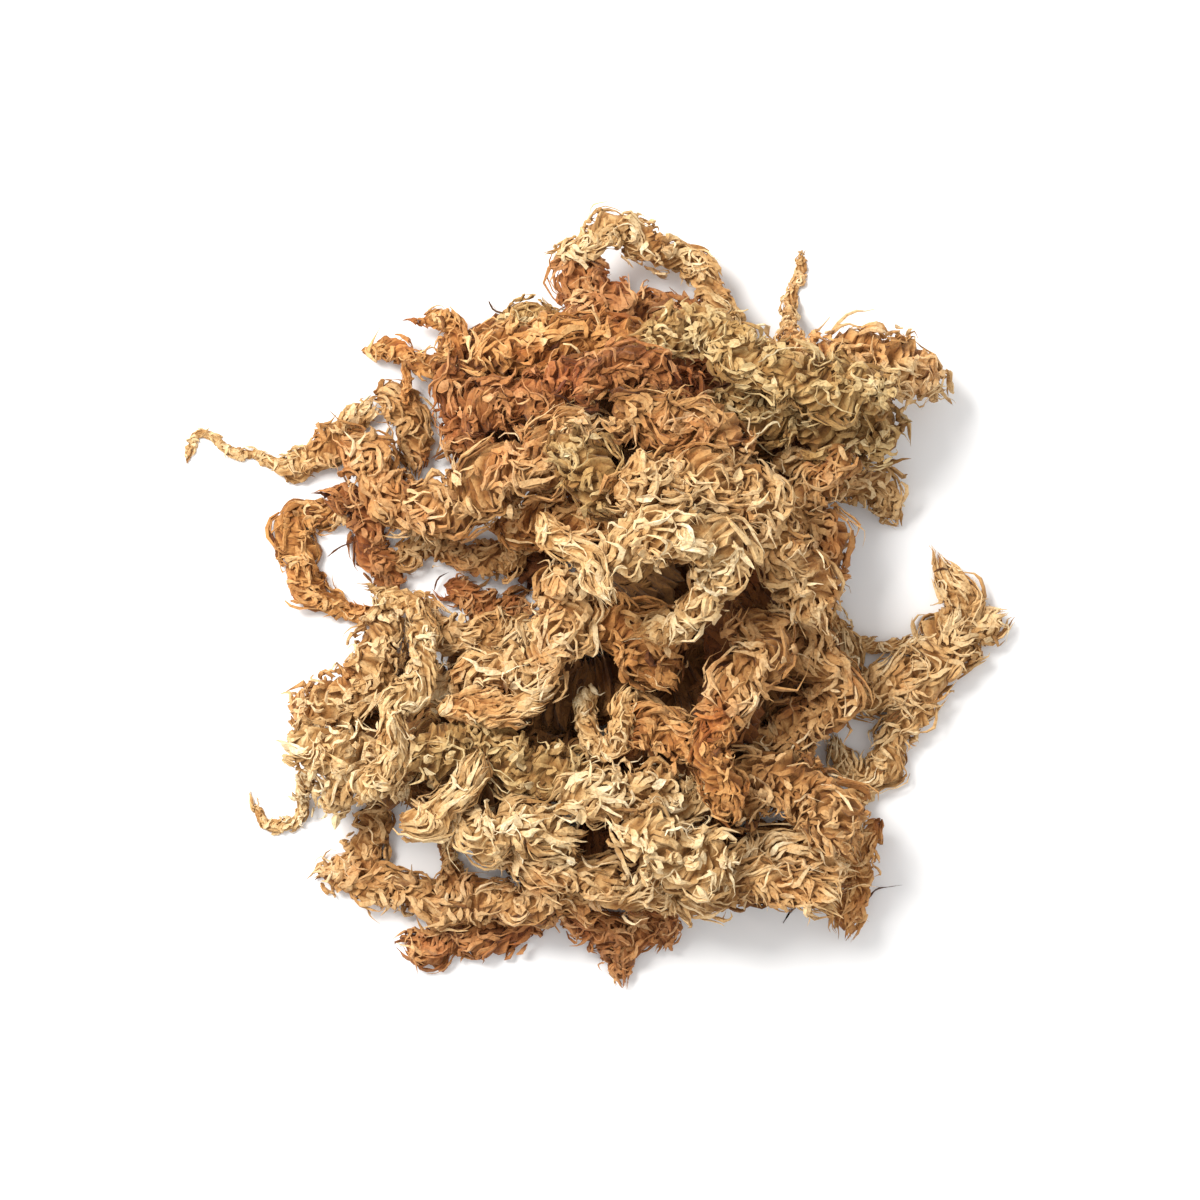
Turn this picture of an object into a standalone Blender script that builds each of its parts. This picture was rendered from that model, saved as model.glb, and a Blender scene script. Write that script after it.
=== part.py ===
"""A clump of dried sphagnum moss lying on a table: separate leafy stems piled over each other.

Each stem is one solid. Its route across the table is drawn by hand, and its height is worked out:
the stems are laid down one after another, and each sags over those that are already there.
Units are metres, +Z is up, and the clump rests on z = 0.
"""

import math

import bmesh
import bpy
import numpy as np
from mathutils import Matrix, Vector
from mathutils.bvhtree import BVHTree

MM = 0.001

# Driving dimensions
PLAN_STEP = 0.2 * MM  # one step of the plan grid that the routes are drawn on
PLAN_CENTRE = (600.0, 600.0)  # the plan's middle, in steps; plan rows count downwards, towards -Y
PRESS = 0.73  # the clump's own weight presses its stems flatter, to this share of their height
CLEARANCE = 0.3 * MM  # what stays free between two stems that touch
FLOOR_SINK = 0.42  # the share of a stem's radius that the table presses flat

# How a stem bends and how its leaves stand
ROUTE_STEP = 1.5 * MM
SAG_RADIUS = 13 * MM  # how sharply a stem bends down over what carries it
SAG_SLOPE = 0.9  # the steepest that it hangs
FORK_REACH = 6 * MM  # how far from its joint a fork still follows the stem's height
WELD = 0.003 * MM  # points nearer than this are one
FORK_NUDGES = [(0, 0, 0)] + [(0.06 * MM * side, 0.06 * MM * along, 0.08 * MM * up)
                             for up in (1, 2, 3) for side in (-1, 1) for along in (-1, 1)]
CRUMB = 30 * MM**3  # a loose scrap smaller than this, left where forks grow together, is dropped
PITCH_PER_RADIUS = 1.1  # from one whorl of leaves to the next
BURIED_PITCH = 1.85  # how much further apart the whorls are on stems deep in the pile
PITCH_RANGE = (4.6 * MM, 9.0 * MM)
WIDE_STEM = 5.2 * MM  # stems at least this thick carry four leaves in a whorl, and others three
LEAF_ROOT = 0.66  # shares of the stem's outer radius
LEAF_CREASE = 0.68
LEAF_TIP = 1.06
LEAF_RISE = 0.56  # shares of the pitch, along the stem
LEAF_REACH = 0.44
RAGGED = 0.14  # how unevenly the leaf tips stand out
HEAD_FLARE = 0.35  # how much further the leaves reach in the crowded head at a stem's growing end
HEAD_LENGTH = 9 * MM
WANDER = 1.1 * MM  # how far a stem strays from its drawn route
WANDER_LENGTH = 17 * MM
FULL_WANDER = 4 * MM  # thinner stems than this stray less
LUMPS = 0.10  # how much a stem's thickness swells and shrinks
LUMP_LENGTH = 11 * MM

# How the stems are laid on each other
LIFT_STEP = 0.3 * MM  # a stem that cuts what lies under it is bent up by this much at a time
LIFT_SPREAD = 8 * MM  # over this length
MOST_LIFTS = 24
NEAR = 1.5 * MM  # a stem this near to its neighbour is moved against it

COLOURS = {
    "cream": (0.71, 0.57, 0.33),
    "straw": (0.60, 0.45, 0.23),
    "tan": (0.50, 0.33, 0.15),
    "amber": (0.52, 0.28, 0.09),
    "rust": (0.36, 0.15, 0.06),
    "olive": (0.41, 0.34, 0.17),
}

# Stems from the bottom of the pile to the top: name, colour, and one route or more.
# A route runs from the root end to the growing end, through (plan x, plan y, radius in millimetres).
# Where a stem has several routes, they are its forks, and grow together in one solid.
STEMS = [
    ("base_north", "amber", [[(446, 372, 4.6), (484, 352, 6.0), (530, 366, 6.4), (584, 340, 6.4),
                              (640, 362, 6.4), (690, 344, 6.0), (728, 372, 4.4)],
                             [(684, 352, 5.0), (692, 380, 5.2), (706, 404, 4.4)]]),
    ("base_upper", "tan", [[(458, 446, 4.4), (506, 422, 6.0), (566, 446, 6.4), (622, 416, 6.4),
                            (684, 440, 6.4), (742, 414, 6.2), (802, 440, 6.2), (868, 428, 4.6)],
                           [(618, 424, 5.2), (616, 456, 5.6), (640, 476, 4.6)],
                           [(744, 422, 5.2), (766, 450, 5.4), (772, 470, 4.6)]]),
    ("base_middle", "rust", [[(548, 508, 4.6), (594, 532, 6.2), (640, 500, 6.4), (694, 518, 6.4),
                              (738, 486, 6.0), (786, 512, 6.0), (816, 542, 4.6)],
                             [(738, 494, 5.0), (744, 528, 5.2), (736, 560, 4.6)],
                             [(598, 532, 5.0), (612, 558, 5.2), (626, 580, 4.4)],
                             [(562, 516, 5.0), (538, 546, 5.4), (536, 582, 4.6)]]),
    ("base_waist", "tan", [[(548, 624, 4.4), (596, 596, 6.2), (650, 620, 6.4), (702, 584, 6.4),
                            (752, 612, 6.2), (794, 590, 5.6), (820, 624, 4.4)],
                           [(698, 590, 5.4), (686, 628, 5.6), (698, 662, 4.8)],
                           [(582, 604, 4.8), (566, 638, 5.4), (562, 666, 4.8)]]),
    ("base_lower", "straw", [[(388, 678, 4.4), (440, 704, 6.0), (498, 680, 6.4), (556, 708, 6.4),
                              (616, 680, 6.4), (676, 706, 6.4), (738, 672, 6.2), (780, 694, 5.8),
                              (820, 690, 4.4)],
                             [(744, 680, 5.0), (756, 712, 5.4), (750, 740, 4.6)],
                             [(498, 688, 5.0), (514, 722, 5.2), (552, 738, 5.2), (592, 732, 4.6)],
                             [(436, 706, 4.8), (418, 730, 5.0), (404, 750, 4.2)]]),
    ("base_broad", "straw", [[(318, 742, 4.6), (370, 768, 6.0), (428, 756, 6.2), (486, 786, 6.4),
                              (546, 762, 6.4), (606, 790, 6.4), (664, 764, 6.4), (722, 790, 6.2),
                              (768, 762, 5.8), (806, 776, 4.4)],
                             [(426, 764, 5.0), (418, 788, 5.2), (410, 808, 4.2)],
                             [(372, 764, 5.0), (364, 736, 5.2), (368, 706, 4.4)]]),
    ("base_south", "tan", [[(506, 842, 4.2), (556, 864, 5.8), (606, 846, 6.2), (658, 872, 6.4),
                            (708, 850, 6.2), (760, 876, 6.0), (808, 852, 5.8), (848, 860, 4.4)],
                           [(708, 855, 5.0), (700, 836, 5.0), (694, 820, 4.2)],
                           [(762, 872, 5.0), (768, 850, 5.2), (760, 830, 4.4)]]),
    ("west_tail", "straw", [[(184, 451, 0.7), (190, 434, 0.8), (209, 437, 0.9), (224, 452, 1.1),
                             (250, 453, 0.9), (272, 462, 1.6), (292, 474, 3.6), (306, 460, 4.2),
                             (326, 441, 4.3), (350, 422, 3.8), (368, 404, 2.6)]]),
    ("west_hook", "amber", [[(338, 512, 2.6), (308, 514, 3.8), (286, 530, 4.2), (292, 554, 4.4),
                             (308, 582, 4.4), (326, 602, 2.6), (350, 615, 2.0), (380, 617, 2.0)]]),
    ("west_rust", "rust", [[(322, 497, 2.0), (345, 502, 3.4), (364, 526, 4.2), (371, 558, 4.3),
                            (386, 590, 3.4)]]),
    ("west_bridge", "tan", [[(392, 556, 3.0), (415, 550, 3.8), (440, 540, 3.6), (470, 556, 3.8),
                             (500, 560, 3.8), (524, 546, 3.2)]]),
    ("west_low", "rust", [[(443, 588, 2.6), (467, 601, 3.6), (496, 608, 3.8), (522, 600, 3.2)]]),
    ("west_arch", "tan", [[(374, 396, 3.2), (393, 398, 4.4), (411, 413, 4.5), (407, 437, 4.2),
                           (412, 464, 3.6)]]),
    ("northwest_sprig", "amber", [[(363, 347, 1.0), (386, 346, 2.5), (409, 357, 2.7), (432, 358, 2.8),
                                   (452, 366, 3.2)],
                                  [(402, 396, 1.0), (405, 377, 1.1), (402, 358, 1.6)],
                                  [(420, 316, 1.8), (440, 318, 2.7), (452, 335, 3.1), (448, 357, 3.2)]]),
    ("north_knot", "olive", [[(506, 318, 2.6), (526, 309, 3.4), (545, 322, 3.6), (566, 334, 3.4)]]),
    ("north_brown", "rust", [[(592, 254, 4.6), (586, 280, 5.8), (592, 306, 6.0), (584, 334, 4.8)],
                             [(594, 300, 5.2), (634, 308, 5.0), (668, 318, 4.6), (706, 314, 4.0)]]),
    ("north_arch", "straw", [[(557, 251, 1.5), (590, 241, 3.3), (622, 231, 4.3), (660, 248, 3.8),
                              (695, 270, 3.6), (716, 292, 3.4), (724, 326, 3.2)]]),
    ("northeast_foot", "straw", [[(772, 456, 3.6), (810, 464, 4.0), (845, 468, 4.8), (870, 482, 4.4),
                                  (884, 500, 3.4), (894, 514, 1.8)]]),
    ("south_rust", "rust", [[(562, 908, 4.0), (520, 926, 4.7), (475, 940, 4.7), (432, 949, 4.4),
                             (406, 950, 3.4)]]),
    ("south_spur", "rust", [[(556, 886, 3.8), (580, 918, 4.2), (601, 938, 4.4), (617, 956, 3.8),
                             (620, 978, 1.6)],
                            [(654, 892, 3.4), (650, 920, 4.0), (634, 942, 3.6), (610, 946, 3.4)],
                            [(648, 912, 2.9), (668, 931, 2.6), (664, 948, 1.8)]]),
    ("southeast_tail", "amber", [[(882, 824, 1.8), (870, 846, 3.4), (862, 878, 3.8), (852, 905, 3.9),
                                  (849, 932, 2.8)]]),
    ("east_sprig", "straw", [[(834, 612, 2.4), (846, 652, 3.0), (860, 688, 4.2), (886, 696, 5.6),
                              (916, 684, 6.6), (946, 656, 6.6), (966, 620, 5.8), (957, 590, 3.8),
                              (948, 568, 1.8)],
                             [(946, 652, 5.0), (980, 636, 4.8), (1006, 622, 2.4)],
                             [(926, 694, 5.0), (906, 733, 4.4), (888, 766, 4.0), (868, 785, 2.8),
                              (849, 772, 3.0), (841, 750, 2.4)],
                             [(864, 782, 2.0), (860, 808, 1.9), (856, 836, 2.0)],
                             [(858, 645, 1.2), (890, 648, 1.4), (926, 652, 2.6)]]),
    ("south_loop", "tan", [[(366, 806, 3.6), (375, 834, 4.4), (358, 858, 4.4), (328, 872, 3.8)],
                           [(320, 878, 3.4), (356, 878, 4.4), (400, 893, 4.5), (446, 904, 5.0),
                            (496, 902, 5.0), (545, 896, 4.6), (592, 902, 4.0)],
                           [(438, 836, 1.4), (446, 862, 1.6), (450, 884, 3.0), (452, 900, 3.4)]]),
    ("north_edge", "rust", [[(446, 360, 3.6), (448, 388, 5.0), (455, 420, 5.0), (466, 452, 4.0)]]),
    ("northeast_face", "olive", [[(716, 398, 5.4), (765, 408, 6.2), (812, 418, 7.0), (858, 428, 7.2),
                                  (892, 444, 5.4)]]),
    ("west_neck", "straw", [[(384, 606, 3.2), (382, 638, 5.4), (372, 672, 5.8), (345, 698, 6.2),
                             (318, 712, 5.6), (290, 704, 3.6)]]),
    ("west_head", "cream", [[(398, 792, 4.0), (386, 764, 5.6), (352, 756, 7.0), (318, 752, 6.4),
                             (288, 746, 3.6)],
                            [(316, 762, 2.4), (300, 792, 1.7), (294, 823, 1.6), (264, 831, 1.5),
                             (252, 808, 1.0)],
                            [(352, 762, 5.4), (344, 790, 5.0), (328, 806, 3.4)]]),
    ("fill_middle", "olive", [[(652, 392, 4.8), (672, 440, 5.6), (646, 486, 5.8), (664, 540, 5.6),
                               (640, 590, 5.6), (622, 648, 4.6)]]),
    ("fill_east", "amber", [[(728, 548, 4.8), (746, 600, 5.6), (724, 650, 5.8), (736, 698, 5.6),
                             (702, 744, 5.4), (686, 806, 4.4)]]),
    ("east_edge", "tan", [[(852, 454, 3.0), (830, 474, 3.8), (816, 505, 5.0), (824, 537, 5.6),
                           (826, 572, 5.0), (832, 602, 3.2)]]),
    ("north_ridge", "amber", [[(472, 354, 4.2), (498, 350, 6.0), (524, 346, 6.4), (552, 350, 6.0),
                               (582, 342, 5.8), (614, 340, 5.6), (640, 350, 4.4)]]),
    ("northeast_ridge", "straw", [[(736, 354, 4.2), (776, 358, 4.8), (815, 360, 5.6), (850, 355, 6.0),
                                   (885, 354, 7.2), (915, 372, 6.6), (938, 386, 4.2)],
                                  [(804, 253, 1.1), (798, 273, 1.4), (792, 302, 1.3), (789, 325, 2.0),
                                   (788, 350, 4.0)]]),
    ("east_wall", "tan", [[(796, 612, 5.2), (810, 646, 6.2), (830, 680, 6.0), (814, 716, 5.6),
                           (782, 736, 5.4), (750, 740, 4.2)]]),
    ("southeast_face", "straw", [[(732, 872, 4.8), (768, 856, 6.4), (808, 858, 6.8), (846, 874, 5.4)]]),
    ("south_frill", "straw", [[(480, 858, 3.0), (500, 854, 4.0), (528, 858, 4.4), (555, 869, 4.8), (594, 882, 4.8), (640, 892, 4.6),
                               (690, 899, 4.2), (735, 888, 4.4), (790, 884, 4.2), (826, 904, 3.4)]]),
    ("west_collar", "straw", [[(418, 604, 3.2), (434, 622, 4.2), (455, 638, 4.8), (490, 642, 4.8), (522, 628, 4.4)]]),
    ("core_brown", "olive", [[(404, 768, 4.6), (432, 748, 6.4), (465, 744, 6.2), (500, 757, 6.0),
                              (532, 772, 6.0), (562, 784, 5.6), (588, 768, 4.2)]]),
    ("red_band", "rust", [[(462, 430, 4.4), (488, 413, 5.4), (522, 402, 5.4), (556, 390, 5.0),
                           (580, 368, 4.2)]]),
    ("brown_curls", "rust", [[(572, 392, 4.6), (602, 374, 5.6), (640, 378, 5.8), (668, 394, 5.6),
                              (690, 424, 4.4)]]),
    ("olive_ridge", "olive", [[(650, 336, 4.6), (685, 328, 5.4), (716, 336, 5.6), (742, 358, 5.6),
                               (768, 376, 6.0), (806, 384, 6.4), (850, 390, 6.6), (888, 402, 5.0)]]),
    ("amber_fold", "amber", [[(498, 524, 4.2), (534, 526, 5.4), (570, 515, 5.4), (605, 520, 5.6), (642, 532, 4.8)]]),
    ("west_crest", "tan", [[(346, 436, 4.2), (362, 456, 5.4), (380, 484, 6.0), (406, 507, 5.6),
                            (434, 510, 5.8), (466, 497, 6.4), (500, 480, 7.2), (535, 461, 7.0),
                            (566, 440, 5.8), (600, 430, 4.8)]]),
    ("east_knee", "tan", [[(748, 606, 5.2), (762, 640, 6.6), (746, 674, 6.2), (726, 702, 4.8),
                           (702, 718, 3.4)]]),
    ("core_amber", "amber", [[(588, 618, 5.0), (620, 629, 6.4), (648, 650, 7.0), (664, 680, 5.6)]]),
    ("crest_tan", "tan", [[(612, 414, 4.6), (645, 416, 6.0), (680, 422, 6.2), (716, 438, 6.0),
                           (744, 464, 4.8)]]),
    ("olive_knot", "olive", [[(560, 436, 4.6), (582, 457, 6.0), (590, 486, 5.8), (608, 504, 4.2)]]),
    ("yellow_band", "straw", [[(560, 566, 5.2), (556, 596, 7.0), (558, 626, 6.4), (538, 654, 6.0),
                               (500, 669, 5.6), (460, 682, 5.0), (428, 690, 3.6)]]),
    ("cream_twist", "cream", [[(372, 592, 1.8), (396, 600, 2.8), (418, 622, 3.0), (427, 652, 3.0),
                               (414, 682, 3.2), (393, 705, 3.4), (396, 732, 3.2), (384, 764, 3.4),
                               (362, 796, 3.2)]]),
    ("pale_crest", "straw", [[(612, 496, 4.6), (645, 483, 6.0), (680, 478, 6.4), (716, 483, 6.2),
                              (748, 498, 5.8), (768, 524, 5.6), (786, 556, 6.2), (801, 586, 6.0),
                              (812, 614, 4.8)]]),
    ("south_cream", "cream", [[(452, 812, 4.0), (490, 832, 5.6), (530, 828, 5.6), (574, 834, 5.2)]]),
    ("southeast_knot", "tan", [[(732, 818, 5.2), (752, 788, 6.6), (792, 784, 7.0), (826, 812, 7.0),
                                (846, 850, 5.4)]]),
    ("flat_straw", "straw", [[(440, 710, 2.8), (482, 710, 3.8), (530, 705, 3.2)]]),
    ("cream_arc", "cream", [[(400, 818, 4.2), (432, 820, 3.8), (457, 796, 3.6), (474, 764, 2.8)]]),
    ("gate", "amber", [[(622, 742, 4.2), (646, 730, 5.2), (674, 730, 4.8), (692, 756, 3.6)]]),
    ("south_crest", "cream", [[(560, 797, 4.4), (600, 787, 5.6), (640, 792, 5.6), (682, 798, 5.0),
                               (706, 786, 3.2)]]),
    ("south_head", "cream", [[(622, 826, 5.4), (654, 848, 7.2), (690, 862, 7.4), (724, 850, 6.0)]]),
    ("pale_head", "cream", [[(606, 562, 4.4), (634, 542, 5.8), (668, 530, 6.6), (702, 538, 6.6),
                             (720, 566, 5.8), (708, 594, 4.4), (684, 616, 3.4), (652, 628, 3.0)]]),
    ("pale_loop", "cream", [[(590, 688, 2.2), (585, 724, 2.5), (601, 754, 2.5), (619, 724, 2.5),
                             (626, 690, 2.4)]]),
    ("orange_stem", "amber", [[(726, 716, 3.2), (713, 745, 4.0), (716, 776, 4.4), (729, 810, 4.2)]]),
    ("pale_ribbon", "cream", [[(541, 518, 2.4), (560, 545, 3.2), (586, 566, 3.2), (603, 594, 1.8)]]),
]


def clear_scene():
    for obj in list(bpy.data.objects):
        bpy.data.objects.remove(obj)


def smooth_route(points, step):
    """Evenly spaced points on a Catmull-Rom curve through the given ones."""
    padded = np.vstack([2 * points[0] - points[1], points, 2 * points[-1] - points[-2]])
    pieces = []
    share = np.linspace(0, 1, 24, endpoint=False)[:, None]
    for a, b, c, d in zip(padded, padded[1:], padded[2:], padded[3:]):
        pieces.append(0.5 * (2 * b + (c - a) * share + (2 * a - 5 * b + 4 * c - d) * share**2
                             + (3 * b - a - 3 * c + d) * share**3))
    pieces.append(points[-1:])
    curve = np.vstack(pieces)
    return even_steps(curve, step)


def even_steps(curve, step):
    """The curve's points (x, y, z or radius, ...) at even steps of its length in its first three columns."""
    along = np.concatenate([[0], np.cumsum(np.linalg.norm(np.diff(curve[:, :3], axis=0), axis=1))])
    count = max(4, round(along[-1] / step))
    at = np.linspace(0, along[-1], count + 1)
    return np.column_stack([np.interp(at, along, column) for column in curve.T])


def plan_route(route, seed):
    """A drawn route in metres: columns x, y, radius, with a little wandering and swelling of its own."""
    draw = np.random.default_rng(seed)
    points = np.array(route, float)
    points[:, 0] = (points[:, 0] - PLAN_CENTRE[0]) * PLAN_STEP
    points[:, 1] = (PLAN_CENTRE[1] - points[:, 1]) * PLAN_STEP
    points[:, 2] *= MM
    curve = smooth_route(points, ROUTE_STEP)
    along = np.arange(len(curve)) * ROUTE_STEP
    ease = np.clip(np.minimum(along, along[::-1]) / FORK_REACH, 0, 1)
    heading = np.gradient(curve[:, :2], axis=0)
    side = np.column_stack([-heading[:, 1], heading[:, 0]])
    side /= np.linalg.norm(side, axis=1)[:, None]
    stray = WANDER * np.sin(2 * math.pi * along / WANDER_LENGTH + draw.uniform(0, 2 * math.pi))
    curve[:, :2] += side * (stray * ease * np.clip(curve[:, 2] / FULL_WANDER, 0, 1))[:, None]
    curve[:, 2] *= 1 + LUMPS * np.sin(2 * math.pi * along / LUMP_LENGTH + draw.uniform(0, 2 * math.pi))
    return curve


def top_below(others, x, y):
    """The height of the pile's upper surface over one point of the table."""
    hit = others.ray_cast(Vector((x, y, 1.0)), Vector((0, 0, -1)))[0] if others else None
    return 0.0 if hit is None else hit.z / PRESS


def hung(needed):
    """The heights of a stem that stays above what carries it and sags in between."""
    along = np.arange(len(needed)) * ROUTE_STEP
    flat = SAG_SLOPE * SAG_RADIUS
    away = along[:, None] - along[None, :]
    sag = SAG_SLOPE * (np.sqrt(away**2 + flat**2) - flat)
    return (needed[None, :] - sag).max(axis=1)


def drape(plan, others):
    """Heights for a stem's plan points, so that a round stem there would lie on the pile."""
    heading = np.gradient(plan[:, :2], axis=0)
    side = np.column_stack([-heading[:, 1], heading[:, 0]])
    side /= np.linalg.norm(side, axis=1)[:, None]
    needed = plan[:, 2] * (1 - FLOOR_SINK)
    for share in (-0.8, -0.45, 0.0, 0.45, 0.8):
        under = plan[:, :2] + side * (share * plan[:, 2])[:, None]
        tops = np.array([top_below(others, x, y) for x, y in under])
        lying = tops + CLEARANCE + plan[:, 2] * math.sqrt(1 - share**2)
        needed = np.where(tops > 0, np.maximum(needed, lying), needed)
    return hung(needed)


def joined_height(plan, height, grown):
    """A fork's heights, brought to those of the routes it grows from where it meets them."""
    if not grown:
        return height
    stems = np.vstack(grown)
    apart = np.hypot(plan[:, None, 0] - stems[None, :, 0], plan[:, None, 1] - stems[None, :, 1])
    nearest = apart.argmin(axis=1)
    share = np.exp(-(apart.min(axis=1) / FORK_REACH) ** 2)
    return height * (1 - share) + stems[nearest, 2] * share


def frames_along(centres):
    """A tangent and two crosswise directions at each point, carried along without twisting."""
    tangents = np.gradient(centres, axis=0)
    tangents /= np.linalg.norm(tangents, axis=1)[:, None]
    up = np.array([0.0, 0.0, 1.0])
    across = np.cross(tangents[0], up)
    across /= np.linalg.norm(across)
    first, second = [], []
    for tangent in tangents:
        across = across - tangent * (across @ tangent)
        across /= np.linalg.norm(across)
        first.append(across)
        second.append(np.cross(tangent, across))
    return tangents, np.array(first), np.array(second)


def leafy_solid(line, pitch, seed):
    """Vertices, triangles and each triangle's place along one leafy stem (0 to 1).

    line has columns x, y, z, radius. Every whorl is two rings, one at the leaves' roots and one where
    every other point is a leaf's tip, which leans out and forward over the whorl that follows.
    """
    draw = np.random.default_rng(seed)
    sides = 8 if line[:, 3].max() >= WIDE_STEM else 6
    length = np.linalg.norm(np.diff(line[:, :3], axis=0), axis=1).sum()
    whorls = max(2, round(length / pitch))
    marks = even_steps(line, length / (whorls * 10))
    tangents, first, second = frames_along(marks[:, :3])
    last = len(marks) - 1
    pitch = length / whorls
    angles = 2 * math.pi * (np.arange(sides) + draw.uniform(0, 1)) / sides
    points = [marks[0, :3] - tangents[0] * 0.35 * marks[0, 3]]
    places = []

    def ring(at, shares, forward):
        """One ring of points at a share of the length, at these shares of the radius."""
        index = min(last, max(0, round(at * last)))
        out = np.outer(np.cos(angles), first[index]) + np.outer(np.sin(angles), second[index])
        lean = np.outer(forward, tangents[index])
        points.extend(marks[index, :3] + out * (marks[index, 3] * shares)[:, None] + lean)
        places.append(at)

    for whorl in range(whorls):
        to_end = (whorls - whorl) * pitch
        ring(whorl / whorls, np.full(sides, LEAF_ROOT), np.zeros(sides))
        is_tip = (np.arange(sides) + whorl) % 2 == 0
        ragged = 1 + RAGGED * draw.uniform(-1, 1, sides)
        crowded = 1 + HEAD_FLARE * max(0.0, 1 - to_end / HEAD_LENGTH)
        shares = np.where(is_tip, LEAF_TIP * ragged, LEAF_CREASE)
        lean = np.where(is_tip, LEAF_REACH * pitch * ragged * crowded, -0.08 * pitch)
        ring((whorl + LEAF_RISE) / whorls, shares, lean)
    ring(1.0, np.full(sides, 0.42), np.zeros(sides))
    points.append(marks[-1, :3] + tangents[-1] * 0.55 * marks[-1, 3])
    return np.array(points), *sheath_faces(sides, places)


def sheath_faces(sides, places):
    """The triangles between the rings, and each one's place along the stem.

    The diagonals run to the leaf tips, so that each leaf comes to a point.
    """
    faces, along = [], []
    end = 1 + len(places) * sides
    for k in range(sides):
        after = (k + 1) % sides
        faces.append((0, 1 + after, 1 + k))
        along.append(0.0)
        for row in range(len(places) - 1):
            low, high = 1 + row * sides, 1 + (row + 1) * sides
            whorl, is_rise = divmod(row, 2)
            a, b, c, d = low + k, low + after, high + after, high + k
            if ((k + whorl) % 2 == 0) == (is_rise == 0):
                faces += [(a, b, d), (b, c, d)]
            else:
                faces += [(a, b, c), (a, c, d)]
            along += [(places[row] + places[row + 1]) / 2] * 2
        faces.append((end - sides + k, end - sides + after, end))
        along.append(1.0)
    return faces, along


def pressed(points):
    """The points as the clump's own weight leaves them."""
    return points * np.array([1, 1, PRESS])


def tree_of(points, faces):
    return BVHTree.FromPolygons([Vector(p) for p in points], faces)


def probes(points, faces):
    """Points spread over a solid: its corners, edge middles and face middles."""
    corners = points[np.array(faces)]
    middles = (corners + np.roll(corners, 1, axis=1)) / 2
    return np.vstack([points, corners.mean(axis=1), middles.reshape(-1, 3)])


def nearest_gap(points, faces, others):
    """The smallest distance from one solid to the others, and the step that would close it."""
    best, step = 50 * MM, np.zeros(3)
    for point in probes(points, faces):
        found, _, _, apart = others.find_nearest(Vector(point), best)
        if found is not None and apart < best:
            best, step = apart, np.array(found) - point
    return best, step


def cut_places(shape, others):
    """Where along a stem it cuts into the pile, as shares of its length."""
    points, faces, along = shape
    return sorted({along[mine] for mine, _ in tree_of(pressed(points), faces).overlap(others)})


def laid(plan, height, shape_of, others):
    """The stem's heights after it has been bent up wherever its leaves cut into the pile."""
    along = np.linspace(0, 1, len(plan))
    spread = LIFT_SPREAD / (ROUTE_STEP * len(plan))
    for _ in range(MOST_LIFTS):
        places = cut_places(shape_of(height), others)
        if not places:
            break
        nearest = np.abs(along[:, None] - np.array(places)[None, :]).min(axis=1)
        height = height + LIFT_STEP * np.exp(-(nearest / spread) ** 2)
    return height


def seat(shapes, others):
    """The small move that clears a stem's solids from the pile, or brings them against it."""
    points = np.vstack([shape[0] for shape in shapes])
    faces = joined_faces(shapes)

    def cuts(at):
        return bool(tree_of(pressed(points + at), faces).overlap(others))

    move = np.zeros(3)
    while cuts(move):
        move = move + np.array([0, 0, LIFT_STEP])
    for _ in range(6):
        gap, step = nearest_gap(pressed(points + move), faces, others)
        short = gap - CLEARANCE * 1.1
        if gap > NEAR or abs(short) < 0.04 * MM:
            break
        trial = move + step / gap * short
        if cuts(trial):
            trial = move + step / gap * short * 0.5
        if cuts(trial):
            break
        move = trial
    return move


def joined_faces(shapes):
    faces, start = [], 0
    for points, own, *_ in shapes:
        faces += [tuple(int(i) + start for i in face) for face in own]
        start += len(points)
    return faces


def mesh_object(name, points, faces, material):
    mesh = bpy.data.meshes.new(name)
    mesh.from_pydata([tuple(p) for p in points], [], faces)
    if material:
        mesh.materials.append(material)
    mesh.validate()
    obj = bpy.data.objects.new(name, mesh)
    bpy.context.scene.collection.objects.link(obj)
    return obj


def space_over_table():
    """A large block that stands on the table, for cutting off what would reach below it."""
    low, high = np.array([-1.0, -1.0, 0.0]), np.array([1.0, 1.0, 1.0])
    corners = [np.where(pick, high, low) for pick in np.ndindex(2, 2, 2)]
    sides = [(0, 1, 3, 2), (4, 6, 7, 5), (0, 4, 5, 1), (2, 3, 7, 6), (0, 2, 6, 4), (1, 5, 7, 3)]
    return mesh_object("space_over_table", corners, sides, None)


def finish(main, forks, space):
    """Grows the forks together with the main stem in one solid, and flattens it on the table."""
    group = bpy.data.collections.new(main.name + "_forks")
    bpy.context.scene.collection.children.link(group)
    for fork in forks:
        bpy.context.scene.collection.objects.unlink(fork)
        group.objects.link(fork)
    if forks:
        union = main.modifiers.new("Grown together", "BOOLEAN")
        union.operation = "UNION"
        union.operand_type = "COLLECTION"
        union.collection = group
        union.solver = "MANIFOLD"
    flat = main.modifiers.new("Flat on the table", "BOOLEAN")
    flat.operation = "INTERSECT"
    flat.object = space
    flat.solver = "MANIFOLD"
    for nudge in FORK_NUDGES:
        for fork in forks:
            fork.location = nudge
        bpy.context.view_layer.update()
        graph = bpy.context.evaluated_depsgraph_get()
        whole = bpy.data.meshes.new_from_object(main.evaluated_get(graph))
        drop_crumbs(whole)
        if is_sound(whole):
            break
    main.modifiers.clear()
    main.data = whole
    for fork in forks:
        bpy.data.objects.remove(fork)
    bpy.data.collections.remove(group)


def shells_of(whole):
    """The separate shells of a mesh, each a set of its faces."""
    left = set(whole.faces)
    shells = []
    while left:
        shell, edge = set(), [left.pop()]
        while edge:
            face = edge.pop()
            shell.add(face)
            joints = [line for line in face.edges if len(line.link_faces) == 2]
            beside = {other for line in joints for other in line.link_faces} & left
            left -= beside
            edge += beside
        shells.append(shell)
    return shells


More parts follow.
